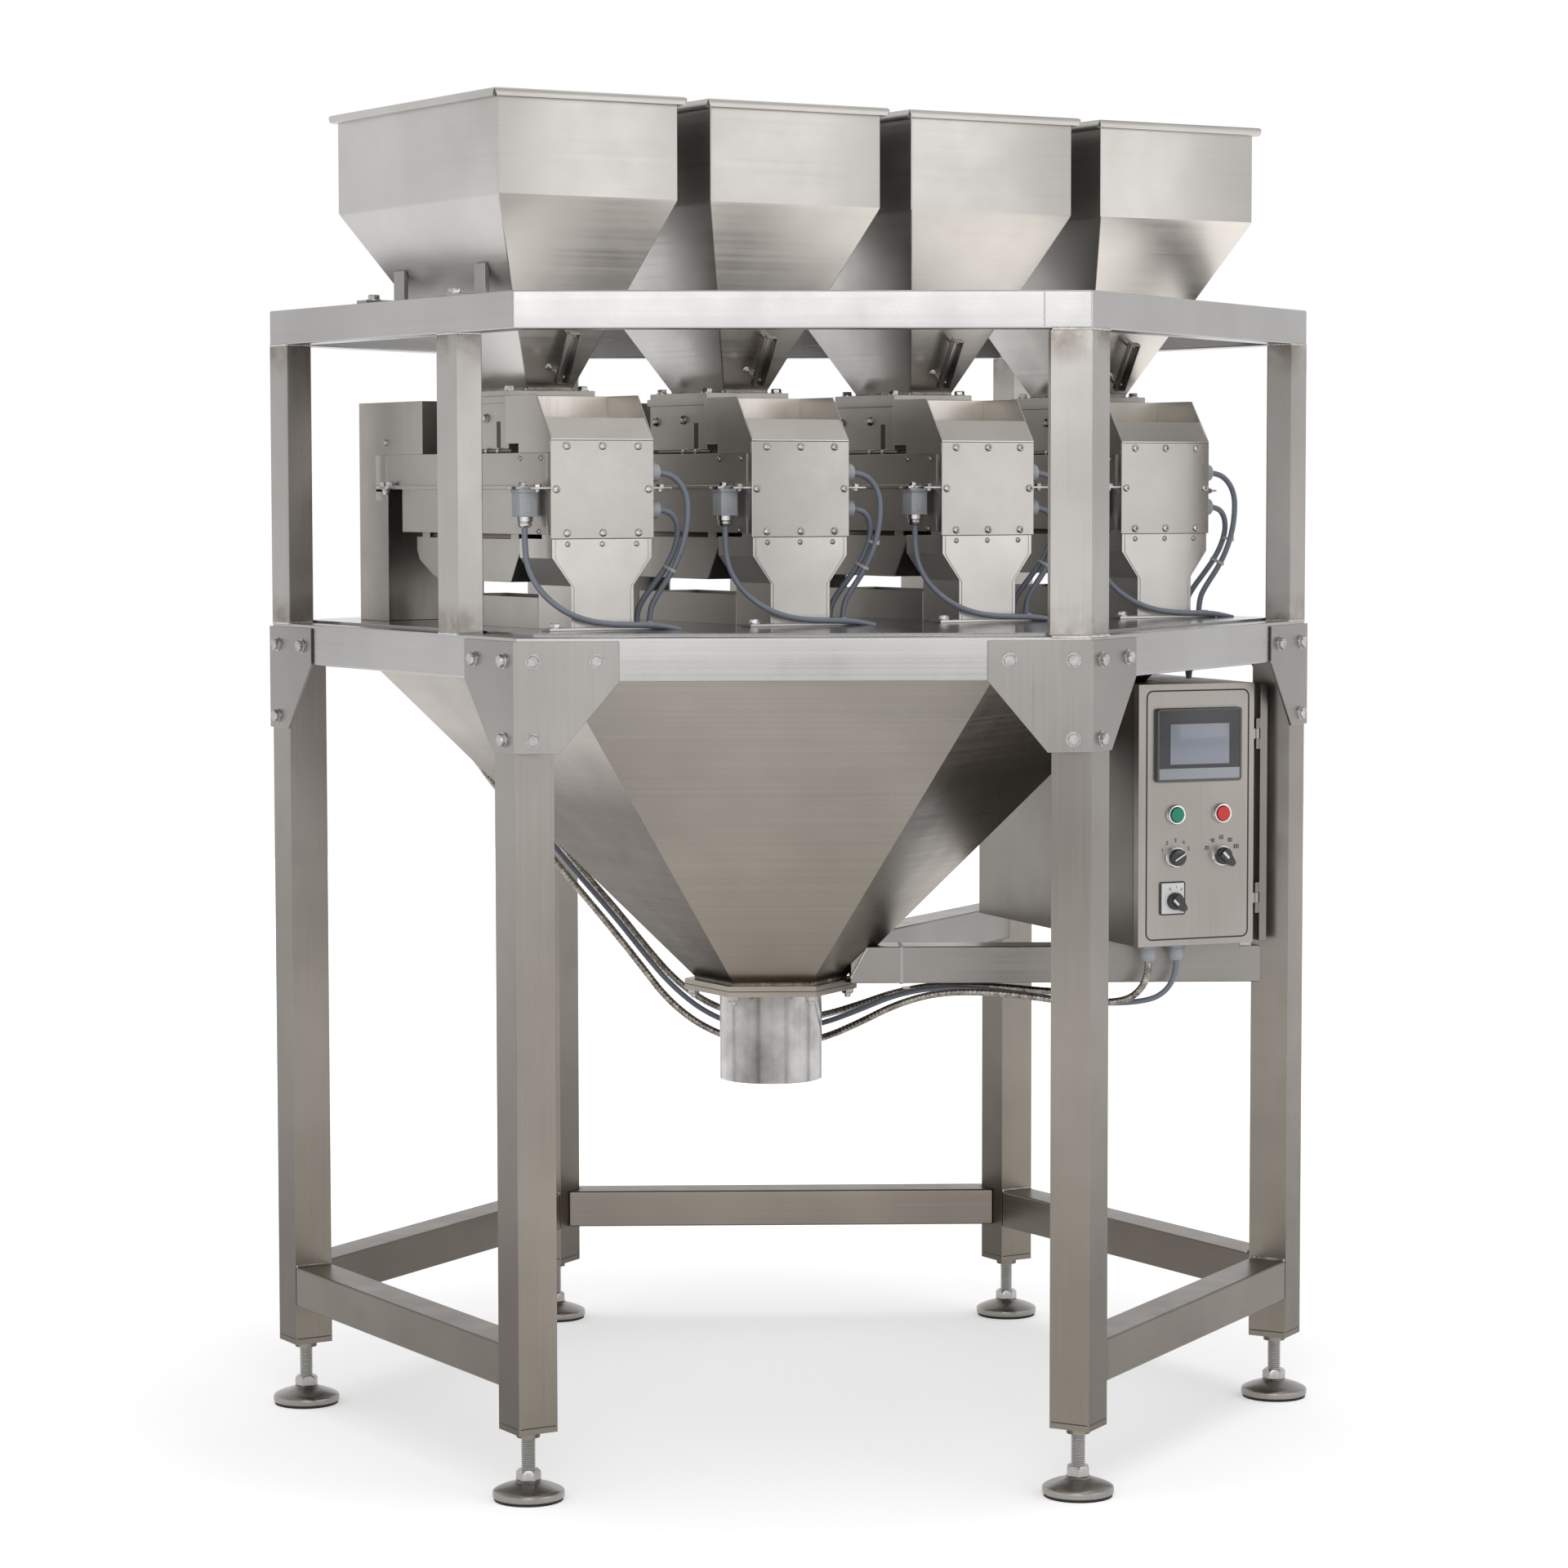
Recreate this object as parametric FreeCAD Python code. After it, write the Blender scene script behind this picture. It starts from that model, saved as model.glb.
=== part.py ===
import FreeCAD
import Part
import math
import os

# A linear weigher: four feeding heads in a row on a hexagonal frame, each with its own hopper,
# emptying through one shared funnel, with a control cabinet under the table.
# X runs along the row of heads, the front covers face -Y, Z is up, and the floor is Z = 0.
# The origin is on the floor at the hexagon's centre. All sizes are in millimetres.

V = FreeCAD.Vector
Z_AXIS = V(0, 0, 1)

# Frame
LEG_RADIUS = 750.0
TUBE = 60.0
TUBE_HALF = TUBE / 2.0
RING_OUT = LEG_RADIUS * math.cos(math.radians(30)) + TUBE_HALF
HALF_SIDE = RING_OUT * math.tan(math.radians(30))
TABLE_TOP = 1195.0
TABLE_BEAM_H = 60.0
TABLE_UNDER = TABLE_TOP - TABLE_BEAM_H
TABLE_IN = RING_OUT - TUBE
TOP_RING_TOP = 1664.0
TOP_RING_H = 52.0
TOP_RING_UNDER = TOP_RING_TOP - TOP_RING_H
TOP_RING_DEEP = 40.0
TOP_IN = RING_OUT - TOP_RING_DEEP
RAIL_LOW = 157.0
POST_W = 60.0
POST_SET_BACK = 198.0
CORNER_POST_FACE = 57.0

# Feet
PAD_R = 50.0
RUBBER_H = 4.0
PAD_RIM_H = 12.0
PAD_TOP = 27.0
NUT_TOP = 43.0
NUT_AF = 30.0
SCREW_R = 10.0
BOSS_LOW = 88.0
BOSS_R = 16.5
LEG_PLATE_LOW = 97.0
LEG_PLATE_T = 8.0

# Corner plates
CORNER_T = 4.0
CORNER_TOP = TABLE_TOP - 5.0
CORNER_LOW = 1037.0
CORNER_SHOULDER = 55.0
CORNER_W = 142.0
CORNER_FOOT_W = 60.0

# Deck and funnel
DECK_T = 4.0
DECK_TOP = TABLE_TOP + DECK_T
DECK_APOTHEM = 637.0
SLOT_X = 96.0
SLOT_Y = -317.0
SLOT_L = 32.0
SLOT_W = 16.0
FUNNEL_X = -26.0
FUNNEL_Y = 16.0
FUNNEL_DROP = 5.0
FUNNEL_RIM_Z = TABLE_TOP - FUNNEL_DROP
FUNNEL_SIDE_ROOM = 46.5
FUNNEL_RIM = TABLE_IN - FUNNEL_SIDE_ROOM
FUNNEL_LOW_Z = 650.0
FUNNEL_LOW = 98.0
SHEET = 2.0
# Level thickness of the funnel's sloping sheet
FUNNEL_WALL = 1.4 * SHEET
FUNNEL_FLANGE = 114.0
FUNNEL_FLANGE_T = 8.0
SPOUT_R = 78.0
SPOUT_WALL = 3.0
SPOUT_LOW = 497.0
SPOUT_TOP = FUNNEL_LOW_Z - 2 * FUNNEL_FLANGE_T

# Half width of a head, and what lies flush with it or beside it
BODY_HALF = 80.0
FACE_EDGE = 2.0
FACE_HALF = BODY_HALF + FACE_EDGE
NECK_IN = 10.0
NECK_HALF = BODY_HALF - NECK_IN
INLET_HALF = NECK_HALF
CHUTE_EDGE = 0.5
CHUTE_TOP_HALF = BODY_HALF - CHUTE_EDGE
PAN_IN = 18.0
PAN_HALF = BODY_HALF - PAN_IN
PLUG_OUT = 20.0
PLUG_X = -BODY_HALF - PLUG_OUT

# Heights of the heads, from the deck up
HEAD_RISE = 134.0
BAND_H = 114.0
LOWER_BAND_H = 63.0
THROAT_RISE = 89.0
CONE_H = 264.0
BIN_H = 144.0
BAND_LOW = DECK_TOP + HEAD_RISE
BAND_TOP = BAND_LOW + BAND_H
MID_Z = BAND_LOW + LOWER_BAND_H
THROAT_Z = BAND_TOP + THROAT_RISE
KNUCKLE_Z = THROAT_Z + CONE_H
RIM_Z = KNUCKLE_Z + BIN_H

# Hoppers
END_HEAD_ROOM = 132.0
PITCH = (TABLE_IN - END_HEAD_ROOM) / 1.5
HEAD_X = [-1.5 * PITCH, -0.5 * PITCH, 0.5 * PITCH, 1.5 * PITCH]
BIN_SPREAD = 13.0
BIN_GAP = 53.0
BIN_PITCH = PITCH + BIN_SPREAD
BIN_HALF = (BIN_PITCH - BIN_GAP) / 2.0
BIN_FRONT = -295.0
BIN_BACK = 212.0
LIP = 10.0
LIP_H = 12.0
NOTCH_W = 9.0
NOTCH_H = 10.5
THROAT_HALF = 36.0
THROAT_FRONT = -140.0
THROAT_BACK = 10.0
NECK_T = 8.0
NECK_FRONT = -147.0
NECK_BACK = 19.0
SEAT_T = 10.0
SEAT_EXTRA = 3.5
GRIP_X = 2.0
GRIP_RISE = 56.0
GRIP_Z = THROAT_Z + GRIP_RISE
GRIP_HALF = 9.0
GRIP_OUT = 26.0
GRIP_T = 10.0
GRIP_REACH = 40.0
STUD_HALF = 5.0
BRACKET_Y = [74.0, -181.0]
BRACKET_W = 32.0
BRACKET_FOOT = 7.5
BRACKET_OUT = -(RING_OUT - BRACKET_FOOT)
BRACKET_T = 5.0
BRACKET_BAR_T = 8.0
BRACKET_H = 48.0
BRACKET_BAR_OUT = 4.5
BRACKET_TOP = TOP_RING_TOP + BRACKET_H
THROAT_SIDE = 1.5 * PITCH + THROAT_HALF
BIN_SIDE = 1.5 * BIN_PITCH + BIN_HALF
# The bar stands against the end hopper's cone at the bar's top
BRACKET_BAR_X = -(THROAT_SIDE + (BIN_SIDE - THROAT_SIDE) * (BRACKET_TOP - THROAT_Z) / CONE_H + BRACKET_BAR_OUT)

# Heads
FACE_Y = -295.0
FACE_T = 3.0
FACE_UNDER = 6.0
FACE_OVER = 17.0
FACE_LOW = BAND_LOW - FACE_UNDER
FACE_TOP = BAND_TOP + FACE_OVER
BODY_FRONT = FACE_Y + FACE_T
MID_T = 5.0
MID_FRONT_L = 55.0
UPPER_BACK = 225.0
LOWER_BACK = 174.0
STAND_FRONT = 263.0
STAND_BACK = 318.0
STAND_OVER = 78.0
STAND_TOP = BAND_TOP + STAND_OVER
STAND_WING = 41.0
STAND_SHEET = 3.0
WING_UNDER = 67.0
WING_TOP = BAND_TOP - WING_UNDER
BACK_BOX_FRONT = 107.0
HOOD_BACK = -160.0
HOOD_CREST_Y = -252.0
HOOD_NOTCH_Y = -199.0
HOOD_NOTCH_H = 13.0
HOOD_NOTCH_Z = BAND_TOP + HOOD_NOTCH_H
HOOD_SHEET = 2.0
HOOD_TOP = THROAT_Z - NECK_T
SLOPE_Y = -272.0
SLOPE_H = 32.0
SLOPE_Z = FACE_TOP + SLOPE_H
INLET_GAP = 6.0
INLET_LOW = BAND_TOP + INLET_GAP
INLET_TOP = THROAT_Z - NECK_T - SEAT_T
INLET_FOOT_IN = 12.0
CHUTE_FACE_Y = -293.0
CHUTE_BACK = -196.0
CHUTE_HALF = 50.0
CHUTE_BAND_H = 27.0
CHUTE_TAPER_H = 39.0
CHUTE_SHOULDER_Z = FACE_LOW - CHUTE_BAND_H
CHUTE_WAIST_Z = CHUTE_SHOULDER_Z - CHUTE_TAPER_H
CHUTE_TAB = 30.0
CHUTE_FOOT_HALF = 90.0
CHUTE_FOOT_FRONT = -304.0
CHUTE_FOOT_BACK = -276.0
CHUTE_FOOT_T = 4.0
PAN_HANG = 7.0
PAN_H = 62.0
PAN_LIP = 20.0
PAN_BACK = 162.0
PAN_FRONT = -176.0
PAN_LOW_FRONT = -136.0
PAN_FLAT_Y = 88.0
PAN_SLOPE_Y = 110.0
PAN_SLOPE_H = 6.0
PAN_CURVE_Y = 154.0
PAN_CURVE_H = 28.0
PAN_SHEET = 3.0
PAN_TOP = BAND_LOW - PAN_HANG
PAN_LOW = PAN_TOP - PAN_H
HANGER_Y = [-160.0, 120.0]
HANGER_W = 24.0
BIN_BOX_HALF = 50.0
BIN_BOX_H = 44.0
BIN_BOX_TOP = DECK_TOP + BIN_BOX_H
BIN_BOX_GAP = 1.0
BIN_BOX_FRONT = CHUTE_BACK + BIN_BOX_GAP
BIN_BOX_BACK = 90.0
BIN_BOX_SHEET = 3.0

# Connectors and cables
CABLE_D = 8.5
HOSE_D = 11.0
PLUG_Y = -250.0
PLUG_H = 38.0
PLUG_HALF_X = 17.0
PLUG_HALF_Y = 15.0
PLUG_LOW = MID_Z - PLUG_H
PLUG_GLAND_L = 16.0
PLUG_GLAND_LOW = PLUG_LOW - PLUG_GLAND_L
PLUG_GLAND_R = 9.0
SIDE_GLAND_Y = -268.0
SIDE_GLAND_R = 13.0
SIDE_GLAND_L = 14.0
SIDE_GLAND_Z = [MID_Z - 29.0, MID_Z + 23.0]

# Cabinet
ARM_TOP = 700.0
ARM_H = 56.0
ARM_START = 90.0
CAB_TURN = -9.0
CAB_W = 195.0
CAB_SIDE_ROOM = 106.9
CAB_X = RING_OUT - CAB_SIDE_ROOM - CAB_W * math.cos(math.radians(CAB_TURN))
CAB_PROUD = 1.0
CAB_Y = -LEG_RADIUS / 2.0 - CAB_PROUD
CAB_DEEP = 560.0
CAB_LOW = 709.0
CAB_TOP = 1103.0
CAB_SHEET = 3.0
DOOR_T = 16.0
DOOR_GAP = 1.5
CAB_FUNNEL_GAP = 12.0
CAB_H = CAB_TOP - CAB_LOW
HINGE_OUT = 6.0
HINGE_X = CAB_W + HINGE_OUT
HINGE_Y = 1.0
HINGE_LOW = 60.0
HINGE_DROP = 85.0
HINGE_HEIGHTS = [HINGE_LOW, CAB_H - HINGE_DROP]
KNUCKLE_R = 3.5
KNUCKLE_L = 15.0
KNUCKLE_GAP = 0.5
STRIP_GAP = 12.0
STRIP_OUT = 24.0
STRIP_BACK = 26.0

# Controls on the door, from its lower left corner
PANEL_X0 = 27.0
PANEL_X1 = 171.0
PANEL_H = 111.0
PANEL_DROP = 36.0
PANEL_Z1 = CAB_H - PANEL_DROP
PANEL_Z0 = PANEL_Z1 - PANEL_H
SCREEN_SIDE = 20.0
SCREEN_UNDER = 28.0
SCREEN_OVER = 24.0
PANEL_OUT = 8.0
LEFT_X = 62.0
RIGHT_X = 140.0
BUTTON_DROP = 196.0
DIAL_DROP = 260.0
SWITCH_DROP = 322.0
BUTTON_Z = CAB_H - BUTTON_DROP
DIAL_Z = CAB_H - DIAL_DROP
SWITCH_X = 57.0
SWITCH_Z = CAB_H - SWITCH_DROP
BEZEL_R = 15.0
BUTTON_R = 10.5
BUTTON_GAP = 0.4
BUTTON_ROOM = 5.0

# Glands under the cabinet
GLANDS = [(34.0, 32.0), (81.0, 32.0), (46.0, 190.0)]
GLAND_L = 26.0
GLAND_R = 13.0
GLAND_MOUTH_Z = CAB_LOW - GLAND_L


def box(x0, x1, y0, y1, z0, z1):
    return Part.makeBox(x1 - x0, y1 - y0, z1 - z0, V(x0, y0, z0))


def cylinder(x, y, z0, z1, radius):
    return Part.makeCylinder(radius, z1 - z0, V(x, y, z0))


def prism(points, z0, z1):
    wire = Part.makePolygon([V(x, y, z0) for x, y in points] + [V(points[0][0], points[0][1], z0)])
    return Part.Face(wire).extrude(V(0, 0, z1 - z0))


def side_prism(points, x0, x1):
    first = points[0]
    wire = Part.makePolygon([V(x0, y, z) for y, z in points] + [V(x0, first[0], first[1])])
    return Part.Face(wire).extrude(V(x1 - x0, 0, 0))


def front_prism(points, y0, y1):
    first = points[0]
    wire = Part.makePolygon([V(x, y0, z) for x, z in points] + [V(first[0], y0, first[1])])
    return Part.Face(wire).extrude(V(0, y1 - y0, 0))


def taper(low, low_z, high, high_z):
    """Flat-sided solid between two outlines whose sides run parallel."""
    a = [V(x, y, low_z) for x, y in low]
    b = [V(x, y, high_z) for x, y in high]
    count = len(a)
    faces = [Part.Face(Part.makePolygon(a + [a[0]])), Part.Face(Part.makePolygon(b + [b[0]]))]
    for i in range(count):
        j = (i + 1) % count
        faces.append(Part.Face(Part.makePolygon([a[i], a[j], b[j], b[i], a[i]])))
    return Part.Solid(Part.Shell(faces))


def rectangle(x0, x1, y0, y1):
    return [(x0, y0), (x1, y0), (x1, y1), (x0, y1)]


def hexagon(apothem):
    radius = apothem / math.cos(math.radians(30))
    return [(radius * math.cos(math.radians(a)), radius * math.sin(math.radians(a)))
            for a in range(30, 390, 60)]


def turned(shape, degrees):
    copy = shape.copy()
    copy.rotate(V(0, 0, 0), Z_AXIS, degrees)
    return copy


def moved(shape, x=0.0, y=0.0, z=0.0):
    copy = shape.copy()
    copy.translate(V(x, y, z))
    return copy


def join(shapes):
    result = shapes[0]
    if len(shapes) > 1:
        result = result.fuse(shapes[1:])
    return result.removeSplitter()


def save(name, shapes):
    if not isinstance(shapes, list):
        shapes = [shapes]
    solids = []
    for shape in shapes:
        solids.extend(shape.Solids)
    body = solids[0] if len(solids) == 1 else Part.makeCompound(solids)
    body.exportStep("parts/%s.step" % name)


def each_head(shape):
    return [moved(shape, x) for x in HEAD_X]


def cord(points, diameter):
    """Round cord through straight runs joined by tangent arcs."""
    pts = [V(*p) for p in points]
    edges = []
    start = pts[0]
    radii = []
    for i in range(1, len(pts) - 1):
        before = pts[i] - pts[i - 1]
        after = pts[i + 1] - pts[i]
        turn = before.getAngle(after)
        run = min(before.Length, after.Length)
        reach = 0.45 * run
        radii.append(reach / math.tan(turn / 2.0))
        before.normalize()
        after.normalize()
        arc_in = pts[i] - before * reach
        arc_out = pts[i] + after * reach
        bisector = after - before
        bisector.normalize()
        centre = pts[i] + bisector * (radii[-1] / math.cos(turn / 2.0))
        toward = pts[i] - centre
        toward.normalize()
        edges.append(Part.makeLine(start, arc_in))
        edges.append(Part.Arc(arc_in, centre + toward * radii[-1], arc_out).toShape())
        start = arc_out
    edges.append(Part.makeLine(start, pts[-1]))
    path = Part.Wire(edges)
    direction = pts[1] - pts[0]
    section = Part.Wire(Part.makeCircle(diameter / 2.0, pts[0], direction))
    print("cord length %.0f, bend radii %s" % (path.Length, " ".join("%.0f" % r for r in radii)))
    return path.makePipeShell([section], True, False)


os.makedirs("parts", exist_ok=True)

VERTEX_ANGLES = [30, 90, 150, 210, 270, 330]
# Each leg is square to one of its two beams, named by the way that beam faces
LEG_BEAM = {30: 0, 90: 120, 150: 180, 210: 180, 270: 300, 330: 300}


def unit(angle):
    return math.cos(math.radians(angle)), math.sin(math.radians(angle))


def leg_place(angle):
    """Centre of a leg whose outer edge meets the table ring's outer corner."""
    corner_radius = RING_OUT / math.cos(math.radians(30))
    cx, cy = [corner_radius * v for v in unit(angle)]
    nx, ny = unit(LEG_BEAM[angle])
    along = -1 if -ny * cx + nx * cy > 0 else 1
    return cx - TUBE_HALF * nx - along * TUBE_HALF * ny, cy - TUBE_HALF * ny + along * TUBE_HALF * nx


# Legs with their foot plates and bosses
legs = []
screws = []
pads = []
rubbers = []
for angle in VERTEX_ANGLES:
    x, y = leg_place(angle)
    leg = join([
        box(-TUBE_HALF, TUBE_HALF, -TUBE_HALF, TUBE_HALF, LEG_PLATE_LOW, TABLE_UNDER),
        cylinder(0, 0, BOSS_LOW, LEG_PLATE_LOW + 1, BOSS_R)])
    legs.append(moved(turned(leg, LEG_BEAM[angle]), x, y))
    nut_r = NUT_AF / 2.0 / math.cos(math.radians(30))
    nut = [(nut_r * math.cos(math.radians(a)), nut_r * math.sin(math.radians(a)))
           for a in range(0, 360, 60)]
    screw = join([prism(nut, PAD_TOP, NUT_TOP), cylinder(0, 0, PAD_TOP, BOSS_LOW, SCREW_R)])
    screws.append(moved(screw, x, y))
    pad = join([
        cylinder(0, 0, RUBBER_H, PAD_RIM_H, PAD_R),
        Part.makeCone(PAD_R - 4, 22.0, PAD_TOP - PAD_RIM_H, V(0, 0, PAD_RIM_H))])
    pads.append(moved(pad, x, y))
    rubbers.append(moved(cylinder(0, 0, 0, RUBBER_H, PAD_R - 2), x, y))
save("legs", legs)
save("foot_screws", screws)
save("foot_pads", pads)
save("foot_rubbers", rubbers)

# The two hexagonal rings
table_ring = prism(hexagon(RING_OUT), TABLE_UNDER, TABLE_TOP).cut(
    prism(hexagon(TABLE_IN), TABLE_UNDER - 1, TABLE_TOP + 1))
save("table_ring", table_ring)
top_ring = prism(hexagon(RING_OUT), TOP_RING_UNDER, TOP_RING_TOP).cut(
    prism(hexagon(TOP_IN), TOP_RING_UNDER - 1, TOP_RING_TOP + 1))
save("top_ring", top_ring)

def beam_post(beam_angle, along):
    """Post flush with a beam's outer face; along is its centre's place from the beam's middle."""
    post = box(RING_OUT - TOP_RING_DEEP, RING_OUT, along - POST_W / 2, along + POST_W / 2,
               TABLE_TOP, TOP_RING_UNDER)
    return turned(post, beam_angle)


def corner_post(angle):
    """Folded post in a ring corner, with two outer faces along the two beams."""
    corner = RING_OUT / math.cos(math.radians(30))
    face_x = -CORNER_POST_FACE / 2
    face_y = CORNER_POST_FACE * math.cos(math.radians(30))
    back_x = face_x - TOP_RING_DEEP * math.cos(math.radians(30))
    back_y = face_y - TOP_RING_DEEP / 2
    inner_x = -TOP_RING_DEEP / math.cos(math.radians(30))
    outline = [
        (0, 0), (face_x, face_y), (back_x, back_y),
        (inner_x, 0), (back_x, -back_y), (face_x, -face_y)]
    return turned(prism([(corner + x, y) for x, y in outline], TABLE_TOP, TOP_RING_UNDER), angle)


# Upper posts: four follow a beam near a corner, two stand in the front and back corners
posts = [
    beam_post(180, -(HALF_SIDE - POST_W / 2)),
    beam_post(180, HALF_SIDE - POST_SET_BACK),
    corner_post(-90),
    beam_post(-60, HALF_SIDE - POST_W / 2),
    beam_post(0, HALF_SIDE - POST_W / 2),
    corner_post(90)]
save("upper_posts", posts)

# Lower rails between the legs on every side but the front one
rails = []
for beam_angle in [0, 60, 120, 180, 300]:
    reach = LEG_RADIUS / 2.0
    rail = turned(box(RING_OUT - TUBE, RING_OUT, -reach, reach, RAIL_LOW, RAIL_LOW + TUBE), beam_angle)
    for leg in legs:
        rail = rail.cut(leg)
    rails.append(max(rail.Solids, key=lambda s: s.Volume))
save("lower_rails", rails)

wing_outline = [
    (0, CORNER_TOP), (CORNER_W, CORNER_TOP), (CORNER_W, CORNER_TOP - CORNER_SHOULDER),
    (CORNER_FOOT_W, CORNER_LOW), (0, CORNER_LOW)]


def corner_plate(angle):
    wings = []
    for side in [-1, 1]:
        wing = front_prism(wing_outline, 0, CORNER_T)
        if side < 0:
            wing = wing.mirror(V(0, 0, 0), V(1, 0, 0))
        # The wing lies on a beam's outer face, its inner end at the fold
        wing = turned(moved(wing, 0, -CORNER_T), 90)
        wing = moved(wing, RING_OUT, -side * HALF_SIDE)
        wings.append(turned(wing, side * 30 + angle))
    fold_keep = prism(hexagon(RING_OUT + CORNER_T), CORNER_LOW, CORNER_TOP)
    fold_cut = prism(hexagon(RING_OUT), CORNER_LOW, CORNER_TOP)
    x, y = [2 * HALF_SIDE * v for v in unit(angle)]
    fold = fold_keep.cut(fold_cut).common(cylinder(x, y, CORNER_LOW, CORNER_TOP, 12))
    return join(wings + [fold])


# Folded corner plates over the outside of every table corner
save("corner_plates", [corner_plate(a) for a in VERTEX_ANGLES])

# Deck on the table ring, open under each chute, in a front and a back sheet that meet there
deck = prism(hexagon(DECK_APOTHEM), TABLE_TOP, DECK_TOP)
for x in HEAD_X:
    deck = deck.cut(box(x - CHUTE_HALF + SHEET, x + CHUTE_HALF - SHEET, CHUTE_FACE_Y + SHEET,
                        CHUTE_BACK - SHEET, TABLE_TOP - 1, DECK_TOP + 1))
    deck = deck.cut(box(x + SLOT_X - SLOT_L / 2, x + SLOT_X + SLOT_L / 2, SLOT_Y - SLOT_W / 2,
                        SLOT_Y + SLOT_W / 2, TABLE_TOP - 1, DECK_TOP + 1))
deck_seam = (CHUTE_FACE_Y + CHUTE_BACK) / 2
front_half = box(-RING_OUT * 2, RING_OUT * 2, -RING_OUT * 2, deck_seam, TABLE_TOP - 1, DECK_TOP + 1)
save("deck_front", deck.common(front_half))
save("deck_back", deck.cut(front_half))


def funnel_room(gap):
    room = taper(hexagon(FUNNEL_LOW + gap), FUNNEL_LOW_Z, hexagon(FUNNEL_RIM + gap), FUNNEL_RIM_Z)
    return moved(room, FUNNEL_X, FUNNEL_Y)


# Funnel: hexagonal sheet cone with its rim lip and double flange, and the round spout below
cone_in = taper(hexagon(FUNNEL_LOW - FUNNEL_WALL), FUNNEL_LOW_Z - 0.01,
                hexagon(FUNNEL_RIM - FUNNEL_WALL), FUNNEL_RIM_Z + 0.01)
rim_hole = prism(hexagon(FUNNEL_RIM - FUNNEL_WALL), FUNNEL_RIM_Z - SHEET - 1, FUNNEL_RIM_Z + 1)
rim = prism(hexagon(TABLE_IN), FUNNEL_RIM_Z - SHEET, FUNNEL_RIM_Z).cut(moved(rim_hole, FUNNEL_X, FUNNEL_Y))
flange = prism(hexagon(FUNNEL_FLANGE), SPOUT_TOP, FUNNEL_LOW_Z).cut(
    cylinder(0, 0, SPOUT_TOP - 1, FUNNEL_LOW_Z + 1, SPOUT_R - SPOUT_WALL))
funnel = join([
    funnel_room(0).cut(moved(cone_in, FUNNEL_X, FUNNEL_Y)), rim, moved(flange, FUNNEL_X, FUNNEL_Y)])
save("funnel", funnel)
spout = cylinder(0, 0, SPOUT_LOW, SPOUT_TOP, SPOUT_R).cut(
    cylinder(0, 0, SPOUT_LOW - 1, SPOUT_TOP + 1, SPOUT_R - SPOUT_WALL))
save("spout", moved(spout, FUNNEL_X, FUNNEL_Y))

# Arms from the funnel out to the two right-hand legs, which carry the cabinet
arms = []
for angle in [-30, 30]:
    arm = turned(box(ARM_START, LEG_RADIUS, -TUBE_HALF, TUBE_HALF, ARM_TOP - ARM_H, ARM_TOP), angle)
    arm = arm.cut(funnel_room(0))
    arm = arm.cut(moved(prism(hexagon(FUNNEL_FLANGE), SPOUT_TOP, FUNNEL_LOW_Z), FUNNEL_X, FUNNEL_Y))
    for leg in legs:
        arm = arm.cut(leg)
    arms.append(max(arm.Solids, key=lambda s: s.Volume))


def cab(shape):
    """Place a shape drawn from the cabinet's front left lower corner into the machine."""
    return moved(turned(shape, CAB_TURN), CAB_X, CAB_Y, CAB_LOW)


# A spacer on each arm fills the gap up to the cabinet's floor
under_cabinet = cab(box(0, CAB_W, DOOR_T + DOOR_GAP, CAB_DEEP, ARM_TOP - CAB_LOW, 0))
for number, arm in enumerate(arms):
    spacer = moved(arm, 0, 0, CAB_LOW - ARM_TOP).common(under_cabinet)
    arms[number] = join([arm, spacer])
save("cabinet_arms", arms)


def hopper_form(x, bin_x, inset):
    """Cone and bin, drawn in by inset; x is the throat's middle and bin_x the bin's."""
    throat = rectangle(x - THROAT_HALF + inset, x + THROAT_HALF - inset,
                       THROAT_FRONT + inset, THROAT_BACK - inset)
    rim = rectangle(bin_x - BIN_HALF + inset, bin_x + BIN_HALF - inset,
                    BIN_FRONT + inset, BIN_BACK - inset)
    return taper(throat, THROAT_Z, rim, KNUCKLE_Z), prism(rim, KNUCKLE_Z, RIM_Z)


def hopper_lip(bin_x):
    """Lip round a bin's rim, with a V-shaped notch from below at each corner."""
    lip = box(bin_x - BIN_HALF - LIP, bin_x + BIN_HALF + LIP,
              BIN_FRONT - LIP, BIN_BACK + LIP, RIM_Z - LIP_H, RIM_Z)
    notch_low = RIM_Z - LIP_H - 1
    notch = front_prism(
        [(-NOTCH_W / 2, notch_low), (NOTCH_W / 2, notch_low), (0, RIM_Z - LIP_H + NOTCH_H)],
        -2 * LIP, 2 * LIP)
    for x, y, angle in [(-BIN_HALF, BIN_FRONT, -45), (BIN_HALF, BIN_FRONT, 45),
                        (BIN_HALF, BIN_BACK, 135), (-BIN_HALF, BIN_BACK, -135)]:
        lip = lip.cut(moved(turned(notch, angle), bin_x + x, y))
    return lip


# Hoppers: straight bin, cone and lip
hopper_outsides = []
for number, x in enumerate(HEAD_X):
    bin_x = x / PITCH * BIN_PITCH
    outer_cone, outer_bin = hopper_form(x, bin_x, 0)
    inner_cone, inner_bin = hopper_form(x, bin_x, SHEET)
    hopper_outsides.append(outer_cone)
    hopper = join([outer_bin, outer_cone, hopper_lip(bin_x)]).cut(inner_bin).cut(inner_cone)
    save("hopper_%d" % (number + 1), hopper)

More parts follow.
